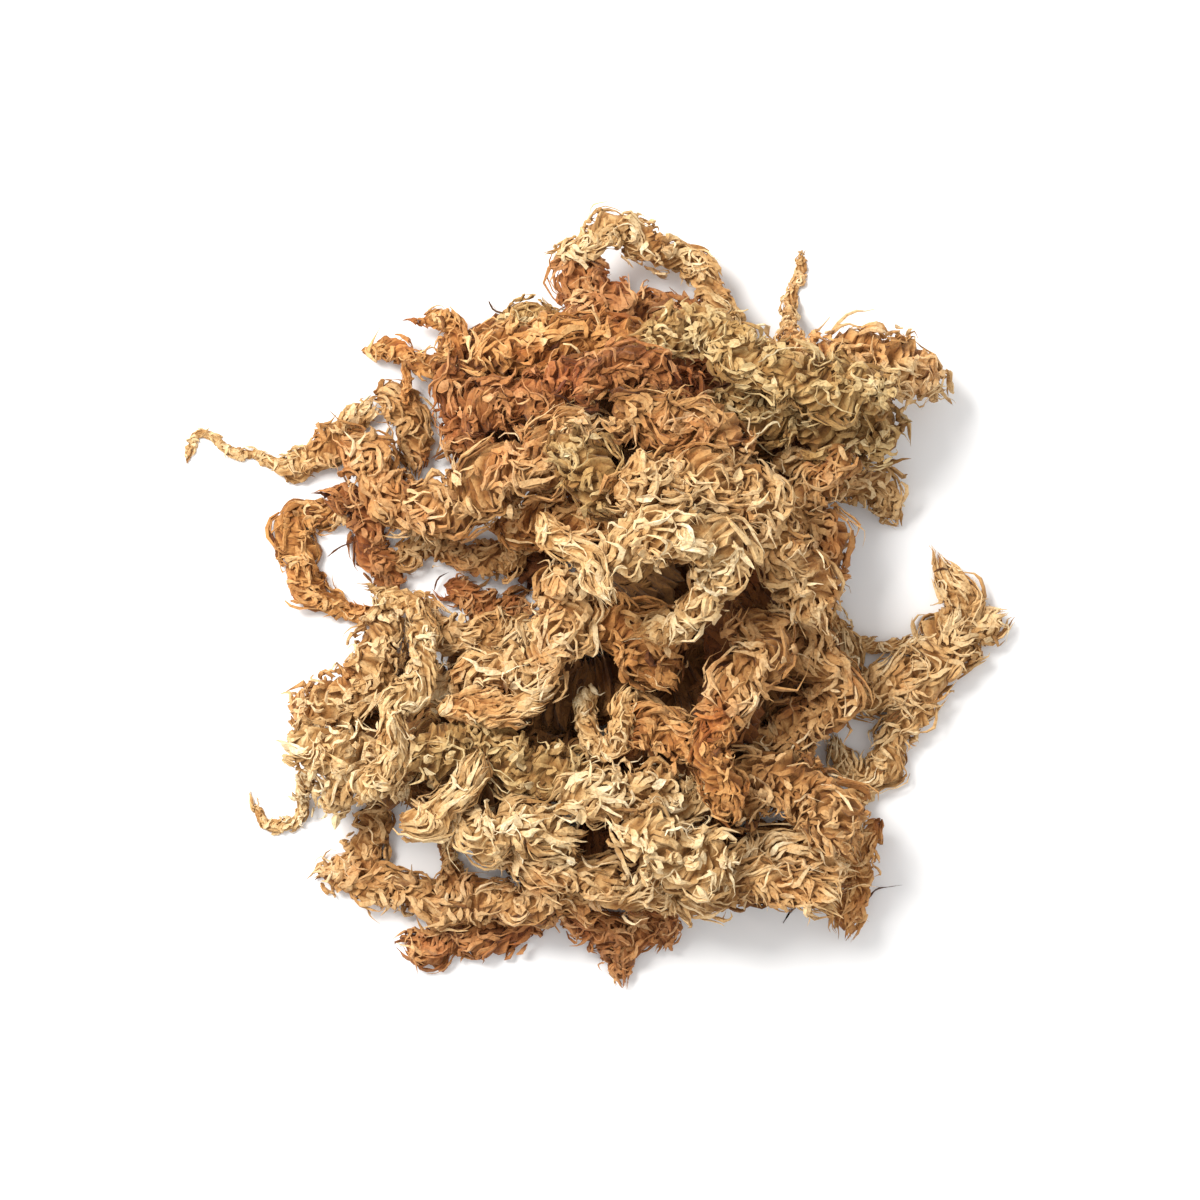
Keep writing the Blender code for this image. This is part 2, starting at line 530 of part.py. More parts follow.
def is_sound(mesh):
    """Whether a mesh is one closed shell."""
    whole = bmesh.new()
    whole.from_mesh(mesh)
    sound = all(edge.is_manifold for edge in whole.edges) and len(shells_of(whole)) == 1
    whole.free()
    return sound


def drop_crumbs(mesh):
    """Removes the small loose shells and sealed hollows that are left where forks grow together."""
    whole = bmesh.new()
    whole.from_mesh(mesh)
    bmesh.ops.triangulate(whole, faces=whole.faces)
    bmesh.ops.remove_doubles(whole, verts=whole.verts, dist=WELD)
    for shell in shells_of(whole):
        corners = [[corner.co for corner in face.verts] for face in shell]
        if sum(a.cross(b).dot(c) for a, b, c in corners) / 6 < CRUMB:
            bmesh.ops.delete(whole, geom=list(shell), context="FACES")
    whole.to_mesh(mesh)
    whole.free()


def materials():
    made = {}
    for name, colour in COLOURS.items():
        material = bpy.data.materials.new(name)
        material.use_nodes = True
        shader = material.node_tree.nodes["Principled BSDF"]
        shader.inputs["Base Color"].default_value = (*colour, 1)
        shader.inputs["Roughness"].default_value = 0.85
        material.diffuse_color = (*colour, 1)
        made[name] = material
    return made


def whorl_pitch(name, plan):
    """How far apart the whorls of leaves are on a stem."""
    buried = BURIED_PITCH if name.startswith(("base_", "fill_")) else 1
    return float(np.clip(PITCH_PER_RADIUS * np.quantile(plan[:, 2], 0.7), *PITCH_RANGE)) * buried


def lay_stem(number, name, routes, others):
    """The solids of one stem and its forks, laid on the pile."""
    grown, shapes = [], []
    for fork, route in enumerate(routes):
        plan = plan_route(route, (number, fork))
        pitch = whorl_pitch(name, plan)

        def shape_of(height):
            line = np.column_stack([plan[:, :2], height, plan[:, 2]])
            return leafy_solid(even_steps(line, ROUTE_STEP), pitch, (number, fork, 1))

        height = joined_height(plan, drape(plan, others), grown)
        if others:
            height = laid(plan, height, shape_of, others)
            height = joined_height(plan, height, grown)
        grown.append(np.column_stack([plan[:, :2], height, plan[:, 2]]))
        shapes.append(shape_of(height))
    move = seat(shapes, others) if others else np.zeros(3)
    return [(pressed(points + move), faces) for points, faces, _ in shapes]


def centre_on_origin():
    """Slides everything across the table, so that the clump's box is centred on the origin."""
    corners = np.vstack([[v.co[:] for v in obj.data.vertices] for obj in bpy.context.scene.objects])
    middle = (corners.min(axis=0) + corners.max(axis=0)) / 2
    shift = Matrix.Translation((-middle[0], -middle[1], 0))
    for obj in bpy.context.scene.objects:
        obj.data.transform(shift)


def build():
    clear_scene()
    finishes = materials()
    space = space_over_table()
    others = None
    pile_points, pile_faces = np.empty((0, 3)), []
    for number, (name, colour, routes) in enumerate(STEMS):
        shapes = lay_stem(number, name, routes, others)
        objects = [mesh_object(f"{name}_fork{i}" if i else name, *shape, finishes[colour])
                   for i, shape in enumerate(shapes)]
        finish(objects[0], objects[1:], space)
        whole = objects[0].data
        start = len(pile_points)
        pile_faces += [tuple(corner + start for corner in face.vertices) for face in whole.polygons]
        pile_points = np.vstack([pile_points, [corner.co[:] for corner in whole.vertices]])
        others = tree_of(pile_points, pile_faces)
    bpy.data.objects.remove(space)
    centre_on_origin()


build()
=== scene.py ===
"""Looks of the sphagnum moss clump: each stem of the frame is replaced by a finer one.

A fine stem has a matted core under tufts of curling strands, with papery leaves and thin threads over them.
Routes are repeated from the CAD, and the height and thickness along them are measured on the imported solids, so the
fine stems keep the solids' form. Units are metres.
"""

import math

import bpy
import numpy as np
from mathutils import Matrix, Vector
from mathutils.bvhtree import BVHTree


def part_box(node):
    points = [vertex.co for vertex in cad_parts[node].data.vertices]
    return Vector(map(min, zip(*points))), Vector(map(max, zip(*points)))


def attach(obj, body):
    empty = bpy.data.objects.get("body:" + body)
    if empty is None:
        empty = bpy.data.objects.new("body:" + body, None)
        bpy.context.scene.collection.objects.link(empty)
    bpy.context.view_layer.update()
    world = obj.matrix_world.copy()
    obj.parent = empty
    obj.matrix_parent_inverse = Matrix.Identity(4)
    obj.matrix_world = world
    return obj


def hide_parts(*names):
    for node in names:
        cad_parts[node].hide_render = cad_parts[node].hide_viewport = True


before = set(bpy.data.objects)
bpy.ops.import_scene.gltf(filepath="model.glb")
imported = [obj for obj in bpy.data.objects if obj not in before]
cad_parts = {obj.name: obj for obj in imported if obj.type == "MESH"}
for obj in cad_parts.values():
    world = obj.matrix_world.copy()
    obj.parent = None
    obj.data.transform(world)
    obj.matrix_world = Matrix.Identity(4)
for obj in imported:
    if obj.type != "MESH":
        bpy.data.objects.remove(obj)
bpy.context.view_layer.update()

MM = 0.001

# The CAD's plan grid and the way its stems stray and swell
PHOTO_SIDE = 1200  # pixels; plan positions count them from the photo's top left corner
PLAN_STEP = 0.2 * MM  # one pixel
PLAN_CENTRE = (600.0, 600.0)
PLAN_ORIGIN = (-0.45 * MM, 1.10 * MM)  # what the CAD takes off plan positions to centre the clump
ROUTE_STEP = 1.5 * MM
CURVE_STEPS = 24  # from one drawn point to the next, before a curve is stepped evenly
FORK_REACH = 6 * MM
WANDER = 1.1 * MM
WANDER_LENGTH = 17 * MM
FULL_WANDER = 4 * MM
LUMPS = 0.10
LUMP_LENGTH = 11 * MM

# A fine stem's form. Shares are of its radius.
FULLER = 1.18  # rays through the middle of a solid miss its leaves' tips
FLATTEST = 0.45  # least upright radius for each sideways one
SWELLINGS = ((0.09, 7 * MM, 2), (0.07, 4.3 * MM, -3), (0.06, 11 * MM, 1))  # share, wave's length, waves around
FULL_RADIUS = 4.2 * MM  # stems slimmer than this have smaller strands
SLIMMEST = 0.30
END_REACH = 3 * MM
END_TAPER = 0.6
END_LEAST = 0.3
LEAST_PACE = 0.8 * MM  # least radius with which a length around a stem becomes an angle
MOST_AROUND = 2.4  # radians
WAVES = 1.3  # of a strand's wobble along it
GOLDEN_TURN = math.radians(137.5)
TURN_JITTER = 0.4
TOP_HEAVY = 0.62  # under 1 puts more tufts on a stem's upper side
FLOOR_GAP = 0.15 * MM  # from the table to the lowest middle of a strand
LOWEST = 0.02 * MM  # and to the lowest point of all

# The matted core
CORE_SHARE = 0.70
HIDDEN_CORE = 1.0
CORE_SIDES = 18
CORE_STEP = 1.15 * MM
CORE_TWIST = 0.3  # radians from one ring to the next
CORE_ROUGH = 0.24
CORE_JITTER = 0.4 * MM
CORE_END = 0.35
# Painted shade of the core, which lies under the tufts: its brightness, a random mottle on it, and its darker ends
CORE_SHADE, CORE_MOTTLE, CORE_END_SHADE = 0.44, 0.30, 0.2

# Tufts of strands. What has no unit of its own is in millimetres, on a full-sized stem, or a share.
TUFT_AREA = 19.3e-6  # square metres of stem surface for each tuft
TUFT_LIFT = (-0.95, 0.25)
TUFT_TONE, TUFT_CONTRAST = 0.50, 0.20
STRANDS = 4  # in a tuft
STRAND_POINTS = 7
STRAND_LENGTH = (4.5 * MM, 9.0 * MM)
STRAND_WIDTH = (0.58 * MM, 1.32 * MM)
STRAND_GAP = (0.7, 1.3)
STRAND_SCATTER = 0.7
STRAND_LIFT = 0.22
STRAND_BULGE, BULGE_HEIGHT = (0.1, 0.9), 0.8
ROOT_DEPTH = 0.5
LOOSE_LIFT, TUCKED_LIFT = (0.5, 2.2), -0.35 * MM
STRAND_FLATNESS, STRAND_ROLL, STRAND_TWIST = (0.35, 0.75), 0.45, 0.8
STRAND_CONTRAST = 0.12
SURFACE_DEPTH, DEPTH_SLOPE, DEPTH_REACH = 0.72, 0.42, 1.4 * MM  # painted shade: a strand's brightness at the stem's surface, and its rise with height above it
SIDE_SHADE = 0.30  # painted shade: how much darker strands are painted on a stem's sides and underside than on its top
CRINKLE = 0.10 * MM
KNOBBLY = 0.32

# Threads, papery leaves and dark hairs, in the same units
FIBRE_AREA = 65e-6  # square metres of stem surface for each thread
FIBRE_POINTS = 8
FIBRE_LENGTH = (4.0, 10.0)
FIBRE_WIDTH = (0.28, 0.55)
FIBRE_LIFT, FIBRE_RISE = (0.2, 0.9), (-0.3, 1.6)
# FIBRE_DEPTH is the threads' painted-shade brightness, near full as they lie over the strands
FIBRE_TONE, FIBRE_CONTRAST, FIBRE_DEPTH = 0.58, 0.25, 0.95
FLAKE_AREA = 95e-6  # and for each papery leaf
FLAKE_THICK = 0.12 * MM
FLAKE_LENGTH, FLAKE_WIDTH = (1.8, 3.9), (0.18, 0.36)  # millimetres, and shares of the length
FLAKE_TILT = (-6, 38)  # degrees
FLAKE_CUP, FLAKE_CURL, FLAKE_CRUMPLE = (-0.5, 0.8), 0.22, 0.14
FLAKE_OUTLINE = (0.45, 1.0, 0.85, 0.12)  # width at each row of points
FLAKE_COLUMNS = 3
FLAKE_TONE, FLAKE_CONTRAST = 0.58, 0.20
HAIR_WIDTH = 0.38 * MM
HAIR_TONE = 0.10

# The stems at the bottom of the pile, and others in the shade of those above, with painted shade on them
HIDDEN = ("base_", "fill_")
HIDDEN_DENSITY = 0.45
# Painted shade: the bottom stems' brightness factor; their full cores fill the pile's gaps and are painted dark there
HIDDEN_BRIGHT = 0.28
# Painted shade: the brightness factor of the stems in the shade of those above
SHADED_BRIGHT = 0.86
SHADED = {"brown_curls", "red_band", "olive_knot", "crest_tan", "core_amber", "east_knee", "east_wall", "east_edge",
          "orange_stem", "southeast_knot", "north_ridge", "northeast_face", "south_rust", "core_brown", "north_edge"}

# The CAD's stems, from the bottom of the pile to the top: name, material slot, and one route or more.
# A route runs from the root end to the growing end, through (plan x, plan y, radius in millimetres).
# Where a stem has several routes, they are its forks, and grow together in one solid.
STEMS = [
    ("base_north", "amber", [[(446, 372, 4.6), (484, 352, 6.0), (530, 366, 6.4), (584, 340, 6.4),
                              (640, 362, 6.4), (690, 344, 6.0), (728, 372, 4.4)],
                             [(684, 352, 5.0), (692, 380, 5.2), (706, 404, 4.4)]]),
    ("base_upper", "tan", [[(458, 446, 4.4), (506, 422, 6.0), (566, 446, 6.4), (622, 416, 6.4),
                            (684, 440, 6.4), (742, 414, 6.2), (802, 440, 6.2), (868, 428, 4.6)],
                           [(618, 424, 5.2), (616, 456, 5.6), (640, 476, 4.6)],
                           [(744, 422, 5.2), (766, 450, 5.4), (772, 470, 4.6)]]),
    ("base_middle", "rust", [[(548, 508, 4.6), (594, 532, 6.2), (640, 500, 6.4), (694, 518, 6.4),
                              (738, 486, 6.0), (786, 512, 6.0), (816, 542, 4.6)],
                             [(738, 494, 5.0), (744, 528, 5.2), (736, 560, 4.6)],
                             [(598, 532, 5.0), (612, 558, 5.2), (626, 580, 4.4)],
                             [(562, 516, 5.0), (538, 546, 5.4), (536, 582, 4.6)]]),
    ("base_waist", "tan", [[(548, 624, 4.4), (596, 596, 6.2), (650, 620, 6.4), (702, 584, 6.4),
                            (752, 612, 6.2), (794, 590, 5.6), (820, 624, 4.4)],
                           [(698, 590, 5.4), (686, 628, 5.6), (698, 662, 4.8)],
                           [(582, 604, 4.8), (566, 638, 5.4), (562, 666, 4.8)]]),
    ("base_lower", "straw", [[(388, 678, 4.4), (440, 704, 6.0), (498, 680, 6.4), (556, 708, 6.4),
                              (616, 680, 6.4), (676, 706, 6.4), (738, 672, 6.2), (780, 694, 5.8),
                              (820, 690, 4.4)],
                             [(744, 680, 5.0), (756, 712, 5.4), (750, 740, 4.6)],
                             [(498, 688, 5.0), (514, 722, 5.2), (552, 738, 5.2), (592, 732, 4.6)],
                             [(436, 706, 4.8), (418, 730, 5.0), (404, 750, 4.2)]]),
    ("base_broad", "straw", [[(318, 742, 4.6), (370, 768, 6.0), (428, 756, 6.2), (486, 786, 6.4),
                              (546, 762, 6.4), (606, 790, 6.4), (664, 764, 6.4), (722, 790, 6.2),
                              (768, 762, 5.8), (806, 776, 4.4)],
                             [(426, 764, 5.0), (418, 788, 5.2), (410, 808, 4.2)],
                             [(372, 764, 5.0), (364, 736, 5.2), (368, 706, 4.4)]]),
    ("base_south", "tan", [[(506, 842, 4.2), (556, 864, 5.8), (606, 846, 6.2), (658, 872, 6.4),
                            (708, 850, 6.2), (760, 876, 6.0), (808, 852, 5.8), (848, 860, 4.4)],
                           [(708, 855, 5.0), (700, 836, 5.0), (694, 820, 4.2)],
                           [(762, 872, 5.0), (768, 850, 5.2), (760, 830, 4.4)]]),
    ("west_tail", "straw", [[(184, 451, 0.7), (190, 434, 0.8), (209, 437, 0.9), (224, 452, 1.1),
                             (250, 453, 0.9), (272, 462, 1.6), (292, 474, 3.6), (306, 460, 4.2),
                             (326, 441, 4.3), (350, 422, 3.8), (368, 404, 2.6)]]),
    ("west_hook", "amber", [[(338, 512, 2.6), (308, 514, 3.8), (286, 530, 4.2), (292, 554, 4.4),
                             (308, 582, 4.4), (326, 602, 2.6), (350, 615, 2.0), (380, 617, 2.0)]]),
    ("west_rust", "rust", [[(322, 497, 2.0), (345, 502, 3.4), (364, 526, 4.2), (371, 558, 4.3),
                            (386, 590, 3.4)]]),
    ("west_bridge", "tan", [[(392, 556, 3.0), (415, 550, 3.8), (440, 540, 3.6), (470, 556, 3.8),
                             (500, 560, 3.8), (524, 546, 3.2)]]),
    ("west_low", "rust", [[(443, 588, 2.6), (467, 601, 3.6), (496, 608, 3.8), (522, 600, 3.2)]]),
    ("west_arch", "tan", [[(374, 396, 3.2), (393, 398, 4.4), (411, 413, 4.5), (407, 437, 4.2),
                           (412, 464, 3.6)]]),
    ("northwest_sprig", "amber", [[(363, 347, 1.0), (386, 346, 2.5), (409, 357, 2.7), (432, 358, 2.8),
                                   (452, 366, 3.2)],
                                  [(402, 396, 1.0), (405, 377, 1.1), (402, 358, 1.6)],
                                  [(420, 316, 1.8), (440, 318, 2.7), (452, 335, 3.1), (448, 357, 3.2)]]),
    ("north_knot", "olive", [[(506, 318, 2.6), (526, 309, 3.4), (545, 322, 3.6), (566, 334, 3.4)]]),
    ("north_brown", "rust", [[(592, 254, 4.6), (586, 280, 5.8), (592, 306, 6.0), (584, 334, 4.8)],
                             [(594, 300, 5.2), (634, 308, 5.0), (668, 318, 4.6), (706, 314, 4.0)]]),
    ("north_arch", "straw", [[(557, 251, 1.5), (590, 241, 3.3), (622, 231, 4.3), (660, 248, 3.8),
                              (695, 270, 3.6), (716, 292, 3.4), (724, 326, 3.2)]]),
    ("northeast_foot", "straw", [[(772, 456, 3.6), (810, 464, 4.0), (845, 468, 4.8), (870, 482, 4.4),
                                  (884, 500, 3.4), (894, 514, 1.8)]]),
    ("south_rust", "rust", [[(562, 908, 4.0), (520, 926, 4.7), (475, 940, 4.7), (432, 949, 4.4),
                             (406, 950, 3.4)]]),
    ("south_spur", "rust", [[(556, 886, 3.8), (580, 918, 4.2), (601, 938, 4.4), (617, 956, 3.8),
                             (620, 978, 1.6)],
                            [(654, 892, 3.4), (650, 920, 4.0), (634, 942, 3.6), (610, 946, 3.4)],
                            [(648, 912, 2.9), (668, 931, 2.6), (664, 948, 1.8)]]),
    ("southeast_tail", "amber", [[(882, 824, 1.8), (870, 846, 3.4), (862, 878, 3.8), (852, 905, 3.9),
                                  (849, 932, 2.8)]]),
    ("east_sprig", "straw", [[(834, 612, 2.4), (846, 652, 3.0), (860, 688, 4.2), (886, 696, 5.6),
                              (916, 684, 6.6), (946, 656, 6.6), (966, 620, 5.8), (957, 590, 3.8),
                              (948, 568, 1.8)],
                             [(946, 652, 5.0), (980, 636, 4.8), (1006, 622, 2.4)],
                             [(926, 694, 5.0), (906, 733, 4.4), (888, 766, 4.0), (868, 785, 2.8),
                              (849, 772, 3.0), (841, 750, 2.4)],
                             [(864, 782, 2.0), (860, 808, 1.9), (856, 836, 2.0)],
                             [(858, 645, 1.2), (890, 648, 1.4), (926, 652, 2.6)]]),
    ("south_loop", "tan", [[(366, 806, 3.6), (375, 834, 4.4), (358, 858, 4.4), (328, 872, 3.8)],
                           [(320, 878, 3.4), (356, 878, 4.4), (400, 893, 4.5), (446, 904, 5.0),
                            (496, 902, 5.0), (545, 896, 4.6), (592, 902, 4.0)],
                           [(438, 836, 1.4), (446, 862, 1.6), (450, 884, 3.0), (452, 900, 3.4)]]),
    ("north_edge", "rust", [[(446, 360, 3.6), (448, 388, 5.0), (455, 420, 5.0), (466, 452, 4.0)]]),
    ("northeast_face", "olive", [[(716, 398, 5.4), (765, 408, 6.2), (812, 418, 7.0), (858, 428, 7.2),
                                  (892, 444, 5.4)]]),
    ("west_neck", "straw", [[(384, 606, 3.2), (382, 638, 5.4), (372, 672, 5.8), (345, 698, 6.2),
                             (318, 712, 5.6), (290, 704, 3.6)]]),
    ("west_head", "cream", [[(398, 792, 4.0), (386, 764, 5.6), (352, 756, 7.0), (318, 752, 6.4),
                             (288, 746, 3.6)],
                            [(316, 762, 2.4), (300, 792, 1.7), (294, 823, 1.6), (264, 831, 1.5),
                             (252, 808, 1.0)],
                            [(352, 762, 5.4), (344, 790, 5.0), (328, 806, 3.4)]]),
    ("fill_middle", "olive", [[(652, 392, 4.8), (672, 440, 5.6), (646, 486, 5.8), (664, 540, 5.6),
                               (640, 590, 5.6), (622, 648, 4.6)]]),
    ("fill_east", "amber", [[(728, 548, 4.8), (746, 600, 5.6), (724, 650, 5.8), (736, 698, 5.6),
                             (702, 744, 5.4), (686, 806, 4.4)]]),
    ("east_edge", "tan", [[(852, 454, 3.0), (830, 474, 3.8), (816, 505, 5.0), (824, 537, 5.6),
                           (826, 572, 5.0), (832, 602, 3.2)]]),
    ("north_ridge", "amber", [[(472, 354, 4.2), (498, 350, 6.0), (524, 346, 6.4), (552, 350, 6.0),
                               (582, 342, 5.8), (614, 340, 5.6), (640, 350, 4.4)]]),
    ("northeast_ridge", "straw", [[(736, 354, 4.2), (776, 358, 4.8), (815, 360, 5.6), (850, 355, 6.0),
                                   (885, 354, 7.2), (915, 372, 6.6), (938, 386, 4.2)],
                                  [(804, 253, 1.1), (798, 273, 1.4), (792, 302, 1.3), (789, 325, 2.0),
                                   (788, 350, 4.0)]]),
    ("east_wall", "tan", [[(796, 612, 5.2), (810, 646, 6.2), (830, 680, 6.0), (814, 716, 5.6),
                           (782, 736, 5.4), (750, 740, 4.2)]]),
    ("southeast_face", "straw", [[(732, 872, 4.8), (768, 856, 6.4), (808, 858, 6.8), (846, 874, 5.4)]]),
    ("south_frill", "straw", [[(480, 858, 3.0), (500, 854, 4.0), (528, 858, 4.4), (555, 869, 4.8),
                               (594, 882, 4.8), (640, 892, 4.6), (690, 899, 4.2), (735, 888, 4.4),
                               (790, 884, 4.2), (826, 904, 3.4)]]),
    ("west_collar", "straw", [[(418, 604, 3.2), (434, 622, 4.2), (455, 638, 4.8), (490, 642, 4.8), (522, 628, 4.4)]]),
    ("core_brown", "olive", [[(404, 768, 4.6), (432, 748, 6.4), (465, 744, 6.2), (500, 757, 6.0),
                              (532, 772, 6.0), (562, 784, 5.6), (588, 768, 4.2)]]),
    ("red_band", "rust", [[(462, 430, 4.4), (488, 413, 5.4), (522, 402, 5.4), (556, 390, 5.0),
                           (580, 368, 4.2)]]),
    ("brown_curls", "rust", [[(572, 392, 4.6), (602, 374, 5.6), (640, 378, 5.8), (668, 394, 5.6),
                              (690, 424, 4.4)]]),
    ("olive_ridge", "olive", [[(650, 336, 4.6), (685, 328, 5.4), (716, 336, 5.6), (742, 358, 5.6),
                               (768, 376, 6.0), (806, 384, 6.4), (850, 390, 6.6), (888, 402, 5.0)]]),
    ("amber_fold", "amber", [[(498, 524, 4.2), (534, 526, 5.4), (570, 515, 5.4), (605, 520, 5.6), (642, 532, 4.8)]]),
    ("west_crest", "tan", [[(346, 436, 4.2), (362, 456, 5.4), (380, 484, 6.0), (406, 507, 5.6),
                            (434, 510, 5.8), (466, 497, 6.4), (500, 480, 7.2), (535, 461, 7.0),
                            (566, 440, 5.8), (600, 430, 4.8)]]),
    ("east_knee", "tan", [[(748, 606, 5.2), (762, 640, 6.6), (746, 674, 6.2), (726, 702, 4.8),
                           (702, 718, 3.4)]]),
    ("core_amber", "amber", [[(588, 618, 5.0), (620, 629, 6.4), (648, 650, 7.0), (664, 680, 5.6)]]),
    ("crest_tan", "tan", [[(612, 414, 4.6), (645, 416, 6.0), (680, 422, 6.2), (716, 438, 6.0),
                           (744, 464, 4.8)]]),
    ("olive_knot", "olive", [[(560, 436, 4.6), (582, 457, 6.0), (590, 486, 5.8), (608, 504, 4.2)]]),
    ("yellow_band", "straw", [[(560, 566, 5.2), (556, 596, 7.0), (558, 626, 6.4), (538, 654, 6.0),
                               (500, 669, 5.6), (460, 682, 5.0), (428, 690, 3.6)]]),
    ("cream_twist", "cream", [[(372, 592, 1.8), (396, 600, 2.8), (418, 622, 3.0), (427, 652, 3.0),
                               (414, 682, 3.2), (393, 705, 3.4), (396, 732, 3.2), (384, 764, 3.4),
                               (362, 796, 3.2)]]),
    ("pale_crest", "straw", [[(612, 496, 4.6), (645, 483, 6.0), (680, 478, 6.4), (716, 483, 6.2),
                              (748, 498, 5.8), (768, 524, 5.6), (786, 556, 6.2), (801, 586, 6.0),
                              (812, 614, 4.8)]]),
    ("south_cream", "cream", [[(452, 812, 4.0), (490, 832, 5.6), (530, 828, 5.6), (574, 834, 5.2)]]),
    ("southeast_knot", "tan", [[(732, 818, 5.2), (752, 788, 6.6), (792, 784, 7.0), (826, 812, 7.0),
                                (846, 850, 5.4)]]),
    ("flat_straw", "straw", [[(440, 710, 2.8), (482, 710, 3.8), (530, 705, 3.2)]]),
    ("cream_arc", "cream", [[(400, 818, 4.2), (432, 820, 3.8), (457, 796, 3.6), (474, 764, 2.8)]]),
    ("gate", "amber", [[(622, 742, 4.2), (646, 730, 5.2), (674, 730, 4.8), (692, 756, 3.6)]]),
    ("south_crest", "cream", [[(560, 797, 4.4), (600, 787, 5.6), (640, 792, 5.6), (682, 798, 5.0),
                               (706, 786, 3.2)]]),
    ("south_head", "cream", [[(622, 826, 5.4), (654, 848, 7.2), (690, 862, 7.4), (724, 850, 6.0)]]),
    ("pale_head", "cream", [[(606, 562, 4.4), (634, 542, 5.8), (668, 530, 6.6), (702, 538, 6.6),
                             (720, 566, 5.8), (708, 594, 4.4), (684, 616, 3.4), (652, 628, 3.0)]]),
    ("pale_loop", "cream", [[(590, 688, 2.2), (585, 724, 2.5), (601, 754, 2.5), (619, 724, 2.5),
                             (626, 690, 2.4)]]),
    ("orange_stem", "amber", [[(726, 716, 3.2), (713, 745, 4.0), (716, 776, 4.4), (729, 810, 4.2)]]),
    ("pale_ribbon", "cream", [[(541, 518, 2.4), (560, 545, 3.2), (586, 566, 3.2), (603, 594, 1.8)]]),
]

# How the strands of a stem lie. Degrees: heading from the growing direction, turn over their length, and fan within a
# tuft. Shares: length, width, how many ends stand loose, how many flakes. wobble is in radians.
STYLES = {
    "crumbly": {"heading": 85, "turn": 190, "fan": 26, "length": 0.72, "width": 0.95, "loose": 0.22, "flakes": 1.5,
                "wobble": 0.55},
    "shaggy": {"heading": 50, "turn": 120, "fan": 18, "length": 0.95, "width": 1.0, "loose": 0.18, "flakes": 0.9,
               "wobble": 0.40},
    "feathery": {"heading": 30, "turn": 55, "fan": 13, "length": 0.95, "width": 0.85, "loose": 0.45, "flakes": 0.6,
                 "wobble": 0.28},
    "combed": {"heading": 20, "turn": 45, "fan": 9, "length": 1.25, "width": 1.0, "loose": 0.12, "flakes": 0.35,
               "wobble": 0.22},
}
# The stems of each style; the others are shaggy
COMBED = {"flat_straw", "cream_arc", "pale_ribbon"}
FEATHERY = {"east_sprig", "southeast_face", "south_frill", "southeast_tail"}
CRUMBLY = {"west_head", "northeast_face", "southeast_knot", "red_band", "brown_curls", "olive_knot", "north_knot",
           "olive_ridge", "core_brown", "west_neck", "northeast_ridge", "south_head"}

# Base colours of each slot: dark (for the lowest tones), main, light (leaf tips) and the patches in it
PALETTE = {
    "cream": ((0.28, 0.150, 0.042), (0.77, 0.61, 0.365), (0.91, 0.80, 0.57), (0.70, 0.43, 0.17)),
    "straw": ((0.25, 0.120, 0.030), (0.70, 0.50, 0.265), (0.86, 0.72, 0.475), (0.65, 0.34, 0.115)),
    "tan": ((0.20, 0.084, 0.020), (0.62, 0.395, 0.185), (0.81, 0.635, 0.395), (0.58, 0.25, 0.075)),
    "amber": ((0.20, 0.075, 0.016), (0.65, 0.37, 0.145), (0.82, 0.60, 0.325), (0.60, 0.22, 0.05)),
    "rust": ((0.15, 0.050, 0.013), (0.51, 0.25, 0.098), (0.74, 0.485, 0.245), (0.47, 0.145, 0.04)),
    "olive": ((0.18, 0.096, 0.024), (0.60, 0.45, 0.225), (0.80, 0.68, 0.44), (0.50, 0.33, 0.125)),
}
# How much lighter or darker some stems are than their slot's usual tone
TONES = {"north_arch": 0.36, "northeast_ridge": 0.22, "yellow_band": 0.18, "west_head": 0.08, "south_head": 0.08,
         "pale_ribbon": 0.25, "cream_twist": 0.03, "cream_arc": 0.06, "west_rust": -0.18, "brown_curls": -0.14,
         "olive_knot": -0.10, "crest_tan": -0.12, "north_ridge": 0.14, "north_knot": 0.12, "east_knee": 0.10,
         "east_wall": 0.06, "pale_head": 0.04, "west_tail": 0.25}

# Every slot's material: scales of its noises, and colours that multiply the base colour
PATCH_SCALE, MOTTLE_SCALE, GRAIN_SCALE, FINE_SCALE = 75, 700, 1500, 3800
PATCH_SHARE = 0.60
CRUMB_SHARE = 0.65
PATCH_STOPS = [(0.50, (0, 0, 0)), (0.66, (1, 1, 1))]
# Painted shade: a colour picked by the points' depth, from dark brown to white, that multiplies the base colour
PAINTED_SHADE_STOPS = [(0.05, (0.17, 0.085, 0.030)), (0.35, (0.50, 0.33, 0.17)), (0.60, (0.86, 0.74, 0.58)), (0.85, (1, 1, 1))]
CRUMB_STOPS = [(0.34, (0.50, 0.36, 0.22)), (0.50, (0.94, 0.90, 0.84)), (0.66, (1, 1, 1))]
ROUGHNESS_STOPS = [(0.3, (0.62,) * 3), (0.7, (0.88,) * 3)]
BUMP_STRENGTH = 0.85
BUMP_DEPTH = 0.30 * MM

# Loose dark hairs: the stem that each clings to, and plan points with a height over what lies below (millimetres)
HAIRS = [
    ("southeast_tail", [(786, 928, 0.3), (793, 917, 0.7), (799, 905, 1.5)]),
    ("southeast_tail", [(868, 906, 0.6), (880, 894, 0.9), (893, 891, 1.2), (906, 889, 2.0)]),
    ("north_knot", [(487, 297, 1.0), (492, 306, 2.0), (503, 309, 2.5), (510, 302, 2.0), (514, 308, 1.0)]),
    ("west_hook", [(324, 556, 1.5), (338, 546, 4.0), (357, 540, 5.0)]),
    ("red_band", [(554, 396, 0.8), (566, 400, 1.6), (571, 409, 1.6), (563, 416, 0.8)]),
    ("west_bridge", [(432, 590, 1.0), (436, 578, 2.0), (446, 572, 1.0)]),
    ("east_sprig", [(938, 572, 1.0), (946, 568, 1.2), (955, 570, 0.6)]),
]

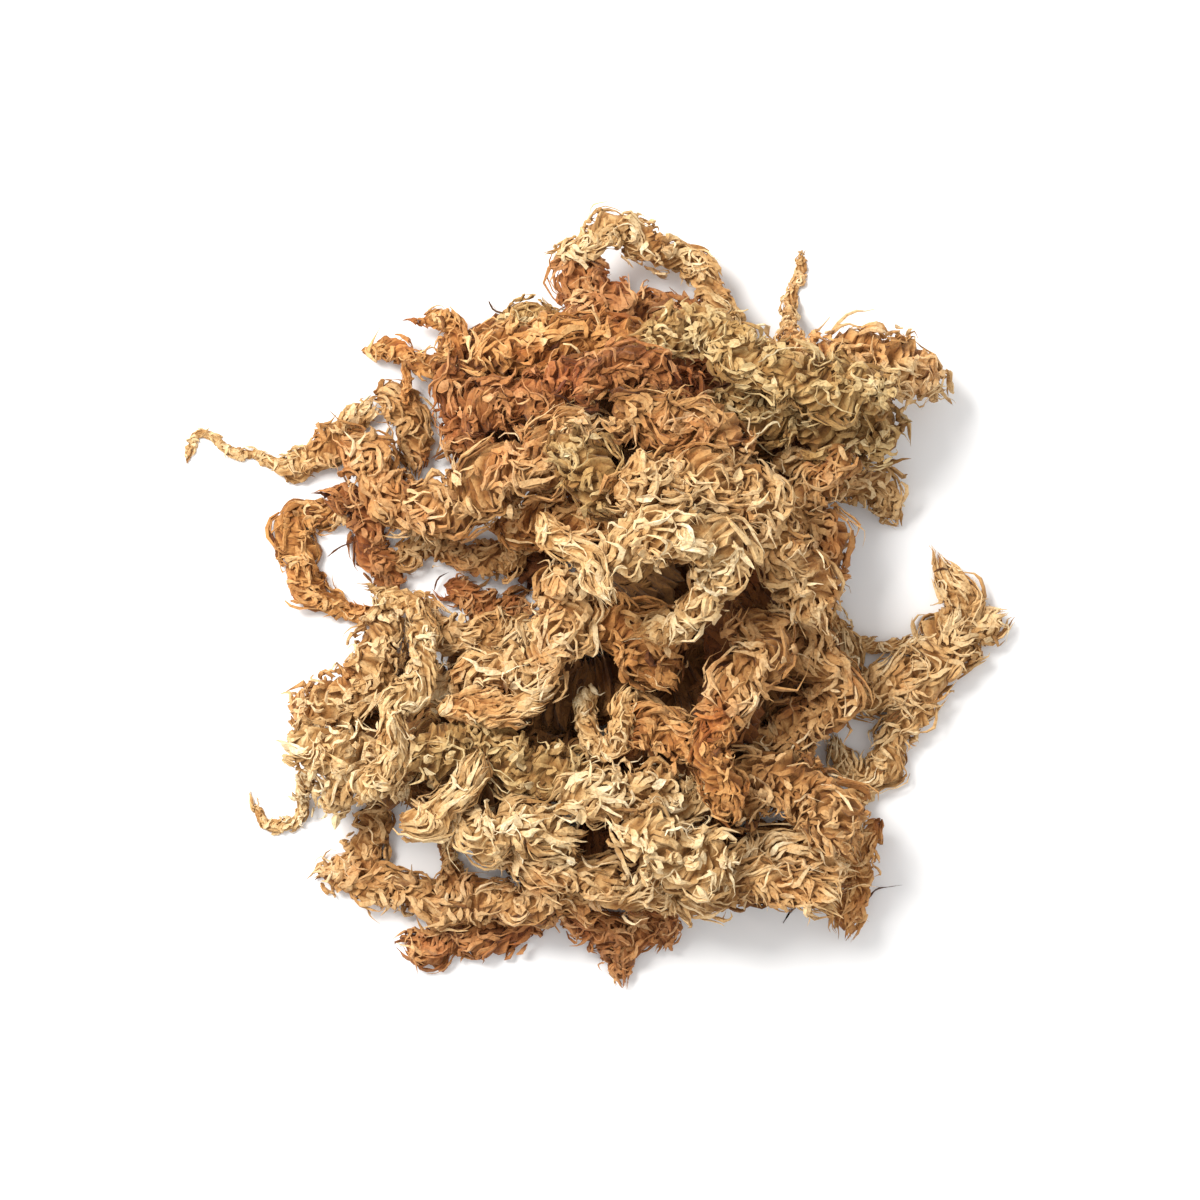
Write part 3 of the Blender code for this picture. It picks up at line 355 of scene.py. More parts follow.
# The stage
WORLD_STRENGTH = 0.88
KEY_PLACE = (-0.55, 0.50, 0.85)
KEY_SIZE = 0.55
KEY_POWER = 16.5
KEY_COLOUR = (1.0, 0.985, 0.96)
CAMERA_DISTANCE = 1.3  # above a level in the middle of the pile
CAMERA_LEVEL = 0.02
FLOOR_REACH = 4.0
FLOOR_COLOUR = (0.93, 0.93, 0.93, 1)


def smooth_route(points, step):
    """Evenly spaced points on a Catmull-Rom curve through the given ones."""
    padded = np.vstack([2 * points[0] - points[1], points, 2 * points[-1] - points[-2]])
    pieces = []
    share = np.linspace(0, 1, CURVE_STEPS, endpoint=False)[:, None]
    for a, b, c, d in zip(padded, padded[1:], padded[2:], padded[3:]):
        pieces.append(0.5 * (2 * b + (c - a) * share + (2 * a - 5 * b + 4 * c - d) * share**2
                             + (3 * b - a - 3 * c + d) * share**3))
    pieces.append(points[-1:])
    return even_steps(np.vstack(pieces), step)


def even_steps(curve, step):
    """The curve's points at even steps of its length, which is taken in its first three columns."""
    along = np.concatenate([[0], np.cumsum(np.linalg.norm(np.diff(curve[:, :3], axis=0), axis=1))])
    count = max(4, round(along[-1] / step))
    at = np.linspace(0, along[-1], count + 1)
    return np.column_stack([np.interp(at, along, column) for column in curve.T])


def plan_route(route, seed):
    """A drawn route in metres, as the CAD draws it: columns x, y, radius."""
    draw = np.random.default_rng(seed)
    points = np.array(route, float)
    points[:, 0] = (points[:, 0] - PLAN_CENTRE[0]) * PLAN_STEP
    points[:, 1] = (PLAN_CENTRE[1] - points[:, 1]) * PLAN_STEP
    points[:, 2] *= MM
    curve = smooth_route(points, ROUTE_STEP)
    along = np.arange(len(curve)) * ROUTE_STEP
    ease = np.clip(np.minimum(along, along[::-1]) / FORK_REACH, 0, 1)
    side = sideways(curve[:, :2])
    stray = WANDER * np.sin(2 * math.pi * along / WANDER_LENGTH + draw.uniform(0, 2 * math.pi))
    curve[:, :2] += side * (stray * ease * np.clip(curve[:, 2] / FULL_WANDER, 0, 1))[:, None]
    curve[:, 2] *= 1 + LUMPS * np.sin(2 * math.pi * along / LUMP_LENGTH + draw.uniform(0, 2 * math.pi))
    return curve


def sideways(plan):
    """The direction to the left of a plan curve at each of its points."""
    heading = np.gradient(plan, axis=0)
    side = np.column_stack([-heading[:, 1], heading[:, 0]])
    return side / np.linalg.norm(side, axis=1)[:, None]


def solids_tree(solids):
    """Some of the frame's nodes as one tree that rays can be cast at."""
    points, faces = [], []
    for node in solids:
        start = len(points)
        points += [node.matrix_world @ v.co for v in node.data.vertices]
        faces += [tuple(start + i for i in p.vertices) for p in node.data.polygons]
    return BVHTree.FromPolygons(points, faces)


def surface(tree, x, y, down=True):
    """Where a ray straight down, or straight up, first meets the tree over a place; None where it meets nothing."""
    start, way = (1.0, -1) if down else (-1.0, 1)
    return tree.ray_cast(Vector((x, y, start)), Vector((0, 0, way)))[0]


def smoothed(values, reach=2):
    """Running means of the values, weighted towards each one's own place."""
    kernel = np.hanning(2 * reach + 3)
    padded = np.pad(values, reach + 1, mode="edge")
    return np.convolve(padded, kernel / kernel.sum(), mode="valid")


def measured(node, plans):
    """The node's centre lines: columns x, y, z, sideways radius, upright radius."""
    tree = solids_tree([node])
    low, high = (np.array(corner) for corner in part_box(node.name))
    reach = np.vstack([np.vstack([p[:, :2] - p[:, 2:], p[:, :2] + p[:, 2:]]) for p in plans])
    shift = (low[:2] + high[:2]) / 2 - (reach.min(axis=0) + reach.max(axis=0)) / 2
    shift = (shift - np.array(PLAN_ORIGIN)) / 2  # midway between the solid's box and the CAD's own shift
    lines = []
    for plan in plans:
        heights = np.full((len(plan), 2), np.nan)
        for i, (x, y) in enumerate(plan[:, :2] + shift):
            top, bottom = surface(tree, x, y), surface(tree, x, y, down=False)
            if top is not None and bottom is not None:
                heights[i] = top.z, bottom.z
        seen = ~np.isnan(heights[:, 0])
        at = np.arange(len(plan))
        top = np.interp(at, at[seen], heights[seen, 0])
        bottom = np.interp(at, at[seen], heights[seen, 1])
        upright = np.clip(smoothed((top - bottom) / 2) * FULLER, FLATTEST * plan[:, 2], plan[:, 2])
        centre = smoothed((top + bottom) / 2)
        lines.append(np.column_stack([plan[:, :2] + shift, centre, plan[:, 2], upright]))
    return lines


class Stem:
    """Positions round one centre line: at(s, angle, out) with s in metres and out as a share of the radius."""

    def __init__(self, line, draw):
        self.line = line
        step = np.linalg.norm(np.diff(line[:, :3], axis=0), axis=1)
        self.along = np.concatenate([[0], np.cumsum(step)])
        self.length = self.along[-1]
        tangent = np.gradient(line[:, :3], axis=0)
        tangent /= np.linalg.norm(tangent, axis=1)[:, None]
        side = np.cross(tangent, [0, 0, 1])
        side /= np.maximum(np.linalg.norm(side, axis=1), 1e-9)[:, None]
        self.tangent = tangent
        self.side = side
        self.up = np.cross(side, tangent)
        self.phases = draw.uniform(0, 2 * math.pi, len(SWELLINGS))

    def pick(self, table, s):
        """Rows of a table that has one for each point of the centre line, at distances along it."""
        s = np.clip(s, 0, self.length)
        return np.stack([np.interp(s, self.along, column) for column in table.T], axis=-1)

    def swell(self, s, angle):
        """How lumpy the stem is at a place, as a factor on its radius."""
        factor = 1
        for (share, length, waves), phase in zip(SWELLINGS, self.phases):
            factor = factor + share * np.sin(2 * math.pi * s / length + waves * angle + phase)
        return factor

    def at(self, s, angle, out):
        out = out * self.swell(s, angle)
        row = self.pick(self.line, s)
        side, up = self.pick(self.side, s), self.pick(self.up, s)
        beyond = s - np.clip(s, 0, self.length)
        taper = np.clip(1 - END_TAPER * np.abs(beyond) / END_REACH, END_LEAST, 1)
        across = (out * row[..., 3] * taper * np.cos(angle))[..., None] * side
        rise = (out * row[..., 4] * taper * np.sin(angle))[..., None] * up
        point = row[..., :3] + across + rise + beyond[..., None] * self.pick(self.tangent, s)
        point[..., 2] = np.maximum(point[..., 2], FLOOR_GAP)
        return point

    def pace(self, s, angle):
        """Metres around the stem for each radian, roughly."""
        row = self.pick(self.line, s)
        round_here = np.hypot(row[:, 3] * np.sin(angle), row[:, 4] * np.cos(angle)) + 0.3 * row[:, 3]
        return np.maximum(round_here, LEAST_PACE)[:, None]


class Batch:
    """Points, triangles and per-point tones gathered for one mesh."""

    def __init__(self):
        self.points, self.faces, self.tones = [], [], []
        self.count = 0

    def add(self, points, faces, tones):
        """points (n, k, 3) are n copies of a form, faces its triangles, tones (n, k, 2) each point's tone and
        painted-shade depth.
        """
        n, k = points.shape[:2]
        self.points.append(points.reshape(-1, 3))
        base = self.count + np.arange(n)[:, None, None] * k
        self.faces.append((np.asarray(faces)[None] + base).reshape(-1, 3))
        self.tones.append(tones.reshape(-1, 2))
        self.count += n * k

    def mesh(self, name):
        points = np.vstack(self.points).astype(np.float32)
        points[:, 2] = np.maximum(points[:, 2], LOWEST)
        faces = np.vstack(self.faces).astype(np.int32)
        mesh = bpy.data.meshes.new(name)
        mesh.vertices.add(len(points))
        mesh.vertices.foreach_set("co", points.ravel())
        mesh.loops.add(faces.size)
        mesh.loops.foreach_set("vertex_index", faces.ravel())
        mesh.polygons.add(len(faces))
        mesh.polygons.foreach_set("loop_start", np.arange(0, faces.size, 3, dtype=np.int32))
        mesh.polygons.foreach_set("use_smooth", np.zeros(len(faces), bool))
        tones = np.vstack(self.tones).astype(np.float32)
        for column, label in enumerate(("tone", "depth")):
            attribute = mesh.attributes.new(label, "FLOAT", "POINT")
            attribute.data.foreach_set("value", np.ascontiguousarray(tones[:, column]))
        mesh.update(calc_edges=True)
        return mesh


def tube_faces(rings, sides):
    """Triangles of a closed tube whose first and last points are its two ends."""
    faces = []
    end = 1 + rings * sides
    for k in range(sides):
        after = (k + 1) % sides
        faces.append((0, 1 + after, 1 + k))
        for ring in range(rings - 1):
            a, b = 1 + ring * sides + k, 1 + ring * sides + after
            faces += [(a, b, b + sides), (a, b + sides, a + sides)]
        faces.append((end - sides + k, end - sides + after, end))
    return faces


def unit(vectors):
    return vectors / np.maximum(np.linalg.norm(vectors, axis=-1), 1e-12)[..., None]


def thickness_of(stem):
    """Mean radius of a stem, and its share of a full one's, between SLIMMEST and 1."""
    radius = stem.line[:, 3:5].mean()
    return radius, float(np.clip(radius / FULL_RADIUS, SLIMMEST, 1))


def spread_over(stem, count, draw):
    """Places on a stem, more of them on its upper side: distance along it and angle."""
    s = (np.arange(count) + draw.uniform(0, 1, count)) / count * (stem.length + 2 * MM) - 1.5 * MM
    from_top = (np.arange(count) * GOLDEN_TURN + draw.normal(0, TURN_JITTER, count)) % (2 * math.pi) - math.pi
    from_top *= TOP_HEAVY + (1 - TOP_HEAVY) * np.abs(from_top) / math.pi
    row = stem.pick(stem.line, s)
    angle = math.pi / 2 + from_top
    return s, np.arctan2(np.sin(angle) * row[:, 3], np.cos(angle) * row[:, 4])


def surface_paths(stem, s, angle, heading, turn, length, lift, points, wobble, draw):
    """Curves that wind over a stem's surface: (n, points, 3) points, and the directions away from its middle.

    heading is measured from the stem's growing direction, turn is how far a curve turns over its length, and
    lift (n, points) is its height over the surface in metres.
    """
    t = np.linspace(0, 1, points)[None, :]
    phase = draw.uniform(0, 2 * math.pi, (len(s), 2, 1))
    bearing = heading[:, None] + turn[:, None] * t + wobble * np.sin(2 * math.pi * WAVES * t + phase[:, 0])
    step = (length / (points - 1))[:, None]
    along = np.cumsum(np.cos(bearing) * step, axis=1) - np.cos(bearing[:, :1]) * step
    around = np.cumsum(np.sin(bearing) * step, axis=1) - np.sin(bearing[:, :1]) * step
    row = stem.pick(stem.line, s)
    theta = angle[:, None] + np.clip(around / stem.pace(s, angle), -MOST_AROUND, MOST_AROUND)
    place = s[:, None] + along
    path = stem.at(place, theta, 1 + lift / row[:, 3:4])
    path = path + CRINKLE * draw.normal(0, 1, path.shape) * np.clip(length / STRAND_LENGTH[1], 0.2, 1)[:, None, None]
    away = unit(path - stem.pick(stem.line[:, :3], place))
    return path, away


def add_ribbons(batch, path, away, width, flatness, roll, twist, tones, draw, sides=4):
    """Flattened, knobbly, tapering strands along (n, k, 3) paths."""
    n, k = path.shape[:2]
    t = np.linspace(0, 1, k)[None, :]
    ahead = unit(np.gradient(path, axis=1))
    away = unit(away - ahead * (away * ahead).sum(axis=-1)[..., None])
    cross = np.cross(ahead, away)
    lean = roll[:, None] + twist[:, None] * t
    wide = cross * np.cos(lean)[..., None] + away * np.sin(lean)[..., None]
    thick = away * np.cos(lean)[..., None] - cross * np.sin(lean)[..., None]
    # Widest before the middle, and thin at the tip
    shape = (0.50 + 0.75 * np.sin(math.pi * np.clip(t * 1.05, 0, 1) ** 0.75)) * (1 - 0.72 * t**2.2)
    girth = width[:, None] / 2 * shape * (1 + KNOBBLY * draw.uniform(-1, 1, (n, k)))
    turnabout = 2 * math.pi * (np.arange(sides) + 0.5) / sides
    ring = (path[:, :, None]
            + wide[:, :, None] * (girth[..., None] * np.cos(turnabout) * 1.25)[..., None]
            + thick[:, :, None] * (girth[..., None] * flatness[:, None, None] * np.sin(turnabout) * 1.25)[..., None])
    body = np.concatenate([path[:, :1], ring.reshape(n, -1, 3), path[:, -1:] + 0.4 * MM * ahead[:, -1:]], axis=1)
    spread = np.concatenate([tones[:, :1], np.repeat(tones, sides, axis=1), tones[:, -1:]], axis=1)
    batch.add(body, tube_faces(k, sides), spread)


def add_tufts(batch, stem, style, density, painted_shade_factor, tint, draw):
    """Tufts of strands, which cover a stem as locks of curly hair would."""
    radius, slim = thickness_of(stem)
    surface = 2 * math.pi * radius * stem.length
    tufts = max(3, round(surface / TUFT_AREA * density / slim))
    s, angle = spread_over(stem, tufts, draw)
    heading = np.radians(style["heading"]) * draw.normal(0, 1, tufts)
    turn = np.radians(style["turn"]) * draw.normal(0, 1, tufts)
    lift = draw.uniform(*TUFT_LIFT, tufts) * MM * slim
    tone = np.clip(draw.normal(TUFT_TONE + tint, TUFT_CONTRAST, tufts), 0, 1)

    shape = (tufts, STRANDS)
    rank = np.arange(STRANDS)[None, :] - (STRANDS - 1) / 2
    aside = rank * (MM * slim) * draw.uniform(*STRAND_GAP, shape)
    own_s = s[:, None] - np.sin(heading)[:, None] * aside + draw.normal(0, STRAND_SCATTER, shape) * MM * slim
    own_angle = angle[:, None] + np.cos(heading)[:, None] * aside / stem.pace(s, angle)
    own_heading = heading[:, None] + np.radians(style["fan"]) * (0.5 * rank + draw.normal(0, 1, shape))
    own_turn = turn[:, None] * draw.uniform(0.6, 1.4, shape) + np.radians(style["fan"]) * draw.normal(0, 1.4, shape)
    length = draw.uniform(*STRAND_LENGTH, shape) * style["length"] * (0.35 + 0.65 * slim)
    reach = np.cos(own_heading) * length * 0.75  # along the stem; keeps strands from standing out past its ends
    own_s = np.clip(own_s, -1 * MM - np.minimum(reach, 0), stem.length + 1 * MM - np.maximum(reach, 0))
    t = np.linspace(0, 1, STRAND_POINTS)
    bulge = draw.uniform(*STRAND_BULGE, shape)[..., None] * np.sin(math.pi * t) * BULGE_HEIGHT * MM * slim
    is_loose = draw.uniform(0, 1, shape) < style["loose"]
    end_lift = np.where(is_loose, draw.uniform(*LOOSE_LIFT, shape) * MM, TUCKED_LIFT)
    height = (lift[:, None, None] + draw.normal(0, STRAND_LIFT, shape)[..., None] * MM * slim + bulge
              + (end_lift * slim)[..., None] * t**2 - ROOT_DEPTH * MM * slim * (1 - t) ** 3)
    flat = tufts * STRANDS
    path, away = surface_paths(stem, own_s.ravel(), own_angle.ravel(), own_heading.ravel(), own_turn.ravel(),
                               length.ravel(), height.reshape(flat, -1), STRAND_POINTS, style["wobble"], draw)
    width = draw.uniform(*STRAND_WIDTH, flat) * style["width"] * (0.40 + 0.60 * slim)
    own_tone = np.clip(np.repeat(tone, STRANDS) + draw.normal(0, STRAND_CONTRAST, flat), 0, 1)
    # Painted shade: strands lower on the stem are darker, and so are those on its sides and underside
    depth = np.clip(SURFACE_DEPTH + height.reshape(flat, -1) / (DEPTH_REACH * slim) * DEPTH_SLOPE, 0, 1) * painted_shade_factor
    depth = depth * (1 - SIDE_SHADE + SIDE_SHADE * np.clip(away[..., 2], 0, 1))
    tones = np.stack([np.repeat(own_tone[:, None], STRAND_POINTS, axis=1), depth], axis=-1)
    add_ribbons(batch, path, away, width, draw.uniform(*STRAND_FLATNESS, flat), draw.normal(0, STRAND_ROLL, flat),
                draw.normal(0, STRAND_TWIST, flat), tones, draw)


def add_fibres(batch, stem, draw):
    """Thin loose threads that curl over the strands."""
    radius, slim = thickness_of(stem)
    count = round(2 * math.pi * radius * stem.length / FIBRE_AREA)
    if count < 1:
        return
    s, angle = spread_over(stem, count, draw)
    length = draw.uniform(*FIBRE_LENGTH, count) * MM * (0.4 + 0.6 * slim)
    t = np.linspace(0, 1, FIBRE_POINTS)
    height = (draw.uniform(*FIBRE_LIFT, count)[:, None] + draw.uniform(*FIBRE_RISE, count)[:, None] * t**2) * MM * slim
    path, away = surface_paths(stem, s, angle, draw.uniform(-2.2, 2.2, count), draw.normal(0, 2.0, count), length,
                               height, FIBRE_POINTS, 0.5, draw)
    tone = np.clip(draw.normal(FIBRE_TONE, FIBRE_CONTRAST, count), 0, 1)
    tones = np.stack([np.repeat(tone[:, None], FIBRE_POINTS, axis=1), np.full(height.shape, FIBRE_DEPTH)], axis=-1)
    add_ribbons(batch, path, away, draw.uniform(*FIBRE_WIDTH, count) * MM, np.full(count, 0.7),
                draw.normal(0, 1, count), draw.normal(0, 2, count), tones, draw, sides=3)


def flake_faces(rows, columns):
    """Triangles of a thin closed plate: its upper points row by row, and then its lower ones."""
    faces = []
    lower = rows * columns
    for r in range(rows - 1):
        for c in range(columns - 1):
            a, b, d, e = (r * columns + c, r * columns + c + 1, (r + 1) * columns + c, (r + 1) * columns + c + 1)
            faces += [(a, b, e), (a, e, d), (lower + a, lower + e, lower + b), (lower + a, lower + d, lower + e)]
    rim = (list(range(columns)) + [(r + 1) * columns - 1 for r in range(1, rows)]
           + [(rows - 1) * columns + c for c in range(columns - 2, -1, -1)]
           + [r * columns for r in range(rows - 2, 0, -1)])
    for a, b in zip(rim, rim[1:] + rim[:1]):
        faces += [(a, lower + a, lower + b), (a, lower + b, b)]
    return faces


def add_flakes(batch, stem, style, draw):
    """Papery leaves that stand off the strands, cupped and with ragged edges."""
    radius, slim = thickness_of(stem)
    count = round(2 * math.pi * radius * stem.length / FLAKE_AREA * style["flakes"])
    if count < 1:
        return
    s, angle = spread_over(stem, count, draw)
    heading = np.radians(style["heading"]) * draw.normal(0, 1.2, count)
    lift = draw.uniform(0.0, 0.7, count) * MM * slim
    path, away = surface_paths(stem, s, angle, heading, np.zeros(count), np.full(count, 1.5 * MM),
                               np.repeat(lift[:, None], 2, axis=1), 2, 0.0, draw)
    root = path[:, 0]
    ahead = unit(path[:, 1] - path[:, 0])
    out = unit(away[:, 0] - ahead * (away[:, 0] * ahead).sum(axis=-1)[:, None])
    tilt = np.radians(draw.uniform(*FLAKE_TILT, count))[:, None]
    ahead, out = ahead * np.cos(tilt) + out * np.sin(tilt), out * np.cos(tilt) - ahead * np.sin(tilt)
    across = np.cross(ahead, out)
    size = (0.45 + 0.55 * slim) * style["length"] ** 0.5
    long = draw.uniform(*FLAKE_LENGTH, count) * MM * size
    wide = long * draw.uniform(*FLAKE_WIDTH, count)
    cup = wide * draw.uniform(*FLAKE_CUP, count)
    curl = long * draw.normal(0, FLAKE_CURL, count)
    rows, columns = len(FLAKE_OUTLINE), FLAKE_COLUMNS
    u = np.linspace(0, 1, rows)[None, :, None]
    v = np.linspace(-1, 1, columns)[None, None, :]
    outline = np.array(FLAKE_OUTLINE)[None, :, None]
    ragged = 1 + 0.28 * draw.uniform(-1, 1, (count, rows, columns))
    x = long[:, None, None] * (u + 0.10 * draw.uniform(-1, 1, (count, rows, columns)))
    y = wide[:, None, None] * v * outline * ragged
    z = (cup[:, None, None] * v**2 * outline + curl[:, None, None] * u**2
         + FLAKE_CRUMPLE * wide[:, None, None] * draw.normal(0, 1, (count, rows, columns)))
    upper = (root[:, None, None] + ahead[:, None, None] * x[..., None] + across[:, None, None] * y[..., None]
             + out[:, None, None] * z[..., None]).reshape(count, -1, 3)
    lower = upper - out[:, None] * FLAKE_THICK
    tone = np.clip(draw.normal(FLAKE_TONE, FLAKE_CONTRAST, count), 0, 1)
    # Painted shade: a flake is darker at its root than towards its tip
    depth = np.clip(SURFACE_DEPTH + 0.28 * np.broadcast_to(u, (count, rows, columns)), 0, 1).reshape(count, -1)
    tones = np.stack([np.repeat(tone[:, None], rows * columns, axis=1), depth], axis=-1)
    batch.add(np.concatenate([upper, lower], axis=1), flake_faces(rows, columns),
              np.concatenate([tones, tones], axis=1))


def add_core(batch, stem, share, painted_shade_factor, draw):
    """The matted body of old leaves, which shows between the tufts."""
    rings = max(5, int(stem.length / CORE_STEP))
    s = np.linspace(0.5 * MM, stem.length - 0.5 * MM, rings)[:, None]
    angle = 2 * math.pi * np.arange(CORE_SIDES)[None, :] / CORE_SIDES + CORE_TWIST * np.arange(rings)[:, None]
    rough = draw.uniform(-1, 1, (rings, CORE_SIDES))
    out = share * (1 + CORE_ROUGH * rough)
    out = out * np.clip(CORE_END + np.minimum(s, stem.length - s) / END_REACH, CORE_END, 1)
    ring = stem.at(s + CORE_JITTER * draw.uniform(-1, 1, angle.shape), angle, out)
    ends = stem.at(np.array([-CORE_JITTER, stem.length + CORE_JITTER]), np.zeros(2), np.zeros(2))
    body = np.concatenate([ends[:1], ring.reshape(-1, 3), ends[1:]])[None]
    # Painted shade: the core is darkened, and its tone lowered, as it lies under the tufts; the mottle is random
    shade = np.concatenate([[CORE_END_SHADE], CORE_SHADE + CORE_MOTTLE * rough.ravel(), [CORE_END_SHADE]])
    tones = np.stack([0.35 + 0.3 * shade, shade * painted_shade_factor], axis=-1)[None]
    batch.add(body, tube_faces(rings, CORE_SIDES), tones)


def moss_material(name):
    """A slot's material. The points' tone picks its colours, and their depth darkens them with painted shade."""
    dark, main, light, patch = PALETTE[name]
    material = bpy.data.materials.new("moss_" + name)
    material.use_nodes = True
    tree = material.node_tree
    nodes, link = tree.nodes, tree.links.new
    shader = nodes["Principled BSDF"]

    def node(kind, **values):
        made = nodes.new(kind)
        for key, value in values.items():
            setattr(made, key, value)
        return made

    def attribute(label):
        return node("ShaderNodeAttribute", attribute_name=label).outputs["Fac"]

    place = node("ShaderNodeTexCoord").outputs["Object"]

    def noise(scale, detail, roughness=0.55):
        made = node("ShaderNodeTexNoise")
        made.inputs["Scale"].default_value = scale
        made.inputs["Detail"].default_value = detail
        made.inputs["Roughness"].default_value = roughness
        link(place, made.inputs["Vector"])
        return made.outputs["Fac"]

    def ramp(value, stops):
        made = node("ShaderNodeValToRGB")
        link(value, made.inputs["Fac"])
        first, last = made.color_ramp.elements
        first.position, first.color = stops[0][0], (*stops[0][1], 1)
        last.position, last.color = stops[-1][0], (*stops[-1][1], 1)
        for position, colour in stops[1:-1]:
            made.color_ramp.elements.new(position).color = (*colour, 1)
        return made.outputs["Color"]

    def math_node(operation, a, b):
        made = node("ShaderNodeMath", operation=operation, use_clamp=True)
        for socket, value in zip(made.inputs, (a, b)):
            if isinstance(value, (int, float)):
                socket.default_value = value
            else:
                link(value, socket)
        return made.outputs["Value"]

    def mixed(factor, a, b, blend):
        made = node("ShaderNodeMix", data_type="RGBA", blend_type=blend)
        for socket, value in ((made.inputs[0], factor), (made.inputs[6], a), (made.inputs[7], b)):
            if isinstance(value, (int, float)):
                socket.default_value = value
            elif isinstance(value, tuple):
                socket.default_value = (*value, 1)
            else:
                link(value, socket)
        return made.outputs[2]

    mottled = math_node("ADD", math_node("MULTIPLY", attribute("tone"), 0.75),
                        math_node("MULTIPLY", noise(MOTTLE_SCALE, 3), 0.35))
    leaf = ramp(mottled, [(0.15, dark), (0.42, main), (0.62, main), (0.95, light)])
    patches = ramp(noise(PATCH_SCALE, 3, 0.6), PATCH_STOPS)
    leaf = mixed(math_node("MULTIPLY", patches, PATCH_SHARE), leaf, patch, "MIX")
    # Painted shade from the points' depth
    painted_shade = ramp(attribute("depth"), PAINTED_SHADE_STOPS)
    grain = noise(GRAIN_SCALE, 3, 0.6)
    crumbs = ramp(grain, CRUMB_STOPS)
    colour = mixed(CRUMB_SHARE, mixed(1.0, leaf, painted_shade, "MULTIPLY"), crumbs, "MULTIPLY")
    link(colour, shader.inputs["Base Color"])
    link(ramp(noise(GRAIN_SCALE, 2), ROUGHNESS_STOPS), shader.inputs["Roughness"])
    shader.inputs["Specular IOR Level"].default_value = 0.28
    shader.inputs["Sheen Weight"].default_value = 0.08
    bump = node("ShaderNodeBump")
    bump.inputs["Strength"].default_value = BUMP_STRENGTH
    bump.inputs["Distance"].default_value = BUMP_DEPTH
    link(math_node("ADD", math_node("MULTIPLY", grain, 0.7), math_node("MULTIPLY", noise(FINE_SCALE, 2), 0.3)),
         bump.inputs["Height"])
    link(bump.outputs["Normal"], shader.inputs["Normal"])
    return material


def add_hairs(batch, name, pile, draw):
    """The dark hairs that cling to one stem."""
    for _, route in (hair for hair in HAIRS if hair[0] == name):
        points = np.array(route, float)
        x = (points[:, 0] - PLAN_CENTRE[0]) * PLAN_STEP - PLAN_ORIGIN[0]
        y = (PLAN_CENTRE[1] - points[:, 1]) * PLAN_STEP - PLAN_ORIGIN[1]
        below = [surface(pile, a, b) for a, b in zip(x, y)]
        z = np.array([0.0 if hit is None else hit.z for hit in below]) + points[:, 2] * MM
        z = np.maximum(z, HAIR_WIDTH)
        path = smooth_route(np.column_stack([x, y, z]), 1 * MM)[None]
        away = np.broadcast_to(np.array([0.0, 0.0, 1.0]), path.shape)
        # A hair's depth is as low as its tone, so the painted-shade ramp makes it near black: the hair's own colour
        tones = np.full((*path.shape[:2], 2), HAIR_TONE)
        add_ribbons(batch, path, away, np.array([HAIR_WIDTH]), np.array([0.8]), np.zeros(1), np.ones(1), tones, draw,
                    sides=3)


def style_of(name):
    kinds = {"combed": COMBED, "feathery": FEATHERY, "crumbly": CRUMBLY}
    return STYLES[next((kind for kind, names in kinds.items() if name in names), "shaggy")]


def dress_stem(number, name, colour, routes, finishes, pile):
    """The finer piece that stands for one of the frame's stems."""
    draw = np.random.default_rng((7, number))
    plans = [plan_route(route, (number, fork)) for fork, route in enumerate(routes)]
    batch = Batch()
    style = style_of(name)
    hidden = name.startswith(HIDDEN)
    density = HIDDEN_DENSITY if hidden else 1.0
    # A brightness factor of painted shade, for stems at the bottom of the pile or in the shade of others
    painted_shade_factor = HIDDEN_BRIGHT if hidden else SHADED_BRIGHT if name in SHADED else 1.0
    for line in measured(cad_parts[name], plans):
        stem = Stem(line, draw)
        add_core(batch, stem, HIDDEN_CORE if hidden else CORE_SHARE, painted_shade_factor, draw)
        add_tufts(batch, stem, style, density, painted_shade_factor, TONES.get(name, 0.0), draw)
        if not hidden:
            add_flakes(batch, stem, style, draw)
            add_fibres(batch, stem, draw)
    add_hairs(batch, name, pile, draw)
    mesh = batch.mesh(name + "_leaves")
    mesh.materials.append(finishes[colour])
    piece = bpy.data.objects.new(name + "_leaves", mesh)
    bpy.context.scene.collection.objects.link(piece)
    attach(piece, "root")
    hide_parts(name)


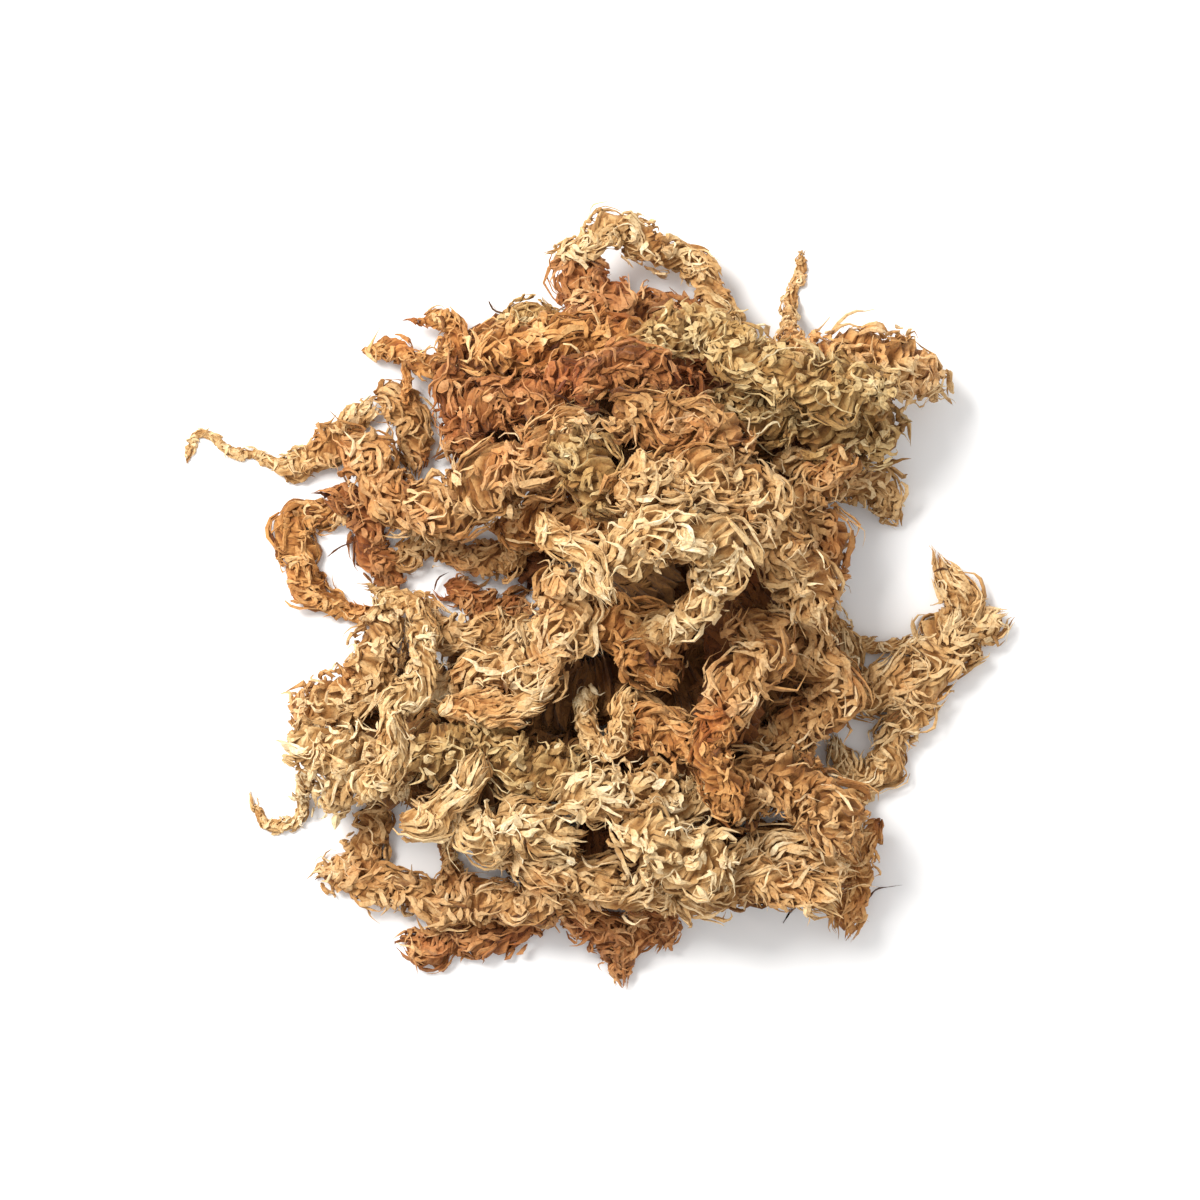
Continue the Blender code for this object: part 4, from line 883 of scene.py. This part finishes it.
def floor():
    corners = [(x * FLOOR_REACH, y * FLOOR_REACH, 0) for x, y in ((-1, -1), (1, -1), (1, 1), (-1, 1))]
    mesh = bpy.data.meshes.new("floor")
    mesh.from_pydata(corners, [], [(0, 1, 2, 3)])
    material = bpy.data.materials.new("floor")
    material.use_nodes = True
    shader = material.node_tree.nodes["Principled BSDF"]
    shader.inputs["Base Color"].default_value = FLOOR_COLOUR
    shader.inputs["Roughness"].default_value = 0.9
    shader.inputs["Specular IOR Level"].default_value = 0.1
    mesh.materials.append(material)
    made = bpy.data.objects.new("floor", mesh)
    bpy.context.scene.collection.objects.link(made)


def lights():
    """An even white world, and one soft lamp from the photo's upper left."""
    world = bpy.data.worlds.new("studio")
    bpy.context.scene.world = world
    world.use_nodes = True
    background = world.node_tree.nodes["Background"]
    background.inputs["Color"].default_value = (1, 1, 1, 1)
    background.inputs["Strength"].default_value = WORLD_STRENGTH
    lamp = bpy.data.lights.new("key", "AREA")
    lamp.shape = "DISK"
    lamp.size = KEY_SIZE
    lamp.energy = KEY_POWER
    lamp.color = KEY_COLOUR
    key = bpy.data.objects.new("key", lamp)
    key.location = KEY_PLACE
    key.rotation_euler = (-key.location).to_track_quat("-Z", "Y").to_euler()
    bpy.context.scene.collection.objects.link(key)


def camera():
    """Straight above, with the photo's whole frame over the same stretch of table."""
    data = bpy.data.cameras.new("camera")
    data.sensor_width = 36
    data.lens = data.sensor_width * CAMERA_DISTANCE / (PHOTO_SIDE * PLAN_STEP)
    data.clip_end = 20
    made = bpy.data.objects.new("camera", data)
    made.location = (-PLAN_ORIGIN[0], -PLAN_ORIGIN[1], CAMERA_DISTANCE + CAMERA_LEVEL)
    bpy.context.scene.collection.objects.link(made)
    bpy.context.scene.camera = made


bpy.context.scene.view_settings.view_transform = "Standard"
whole_pile = solids_tree(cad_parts.values())
moss = {name: moss_material(name) for name in PALETTE}
for place_in_pile, (stem_name, slot, stem_routes) in enumerate(STEMS):
    dress_stem(place_in_pile, stem_name, slot, stem_routes, moss, whole_pile)
floor()
lights()
camera()
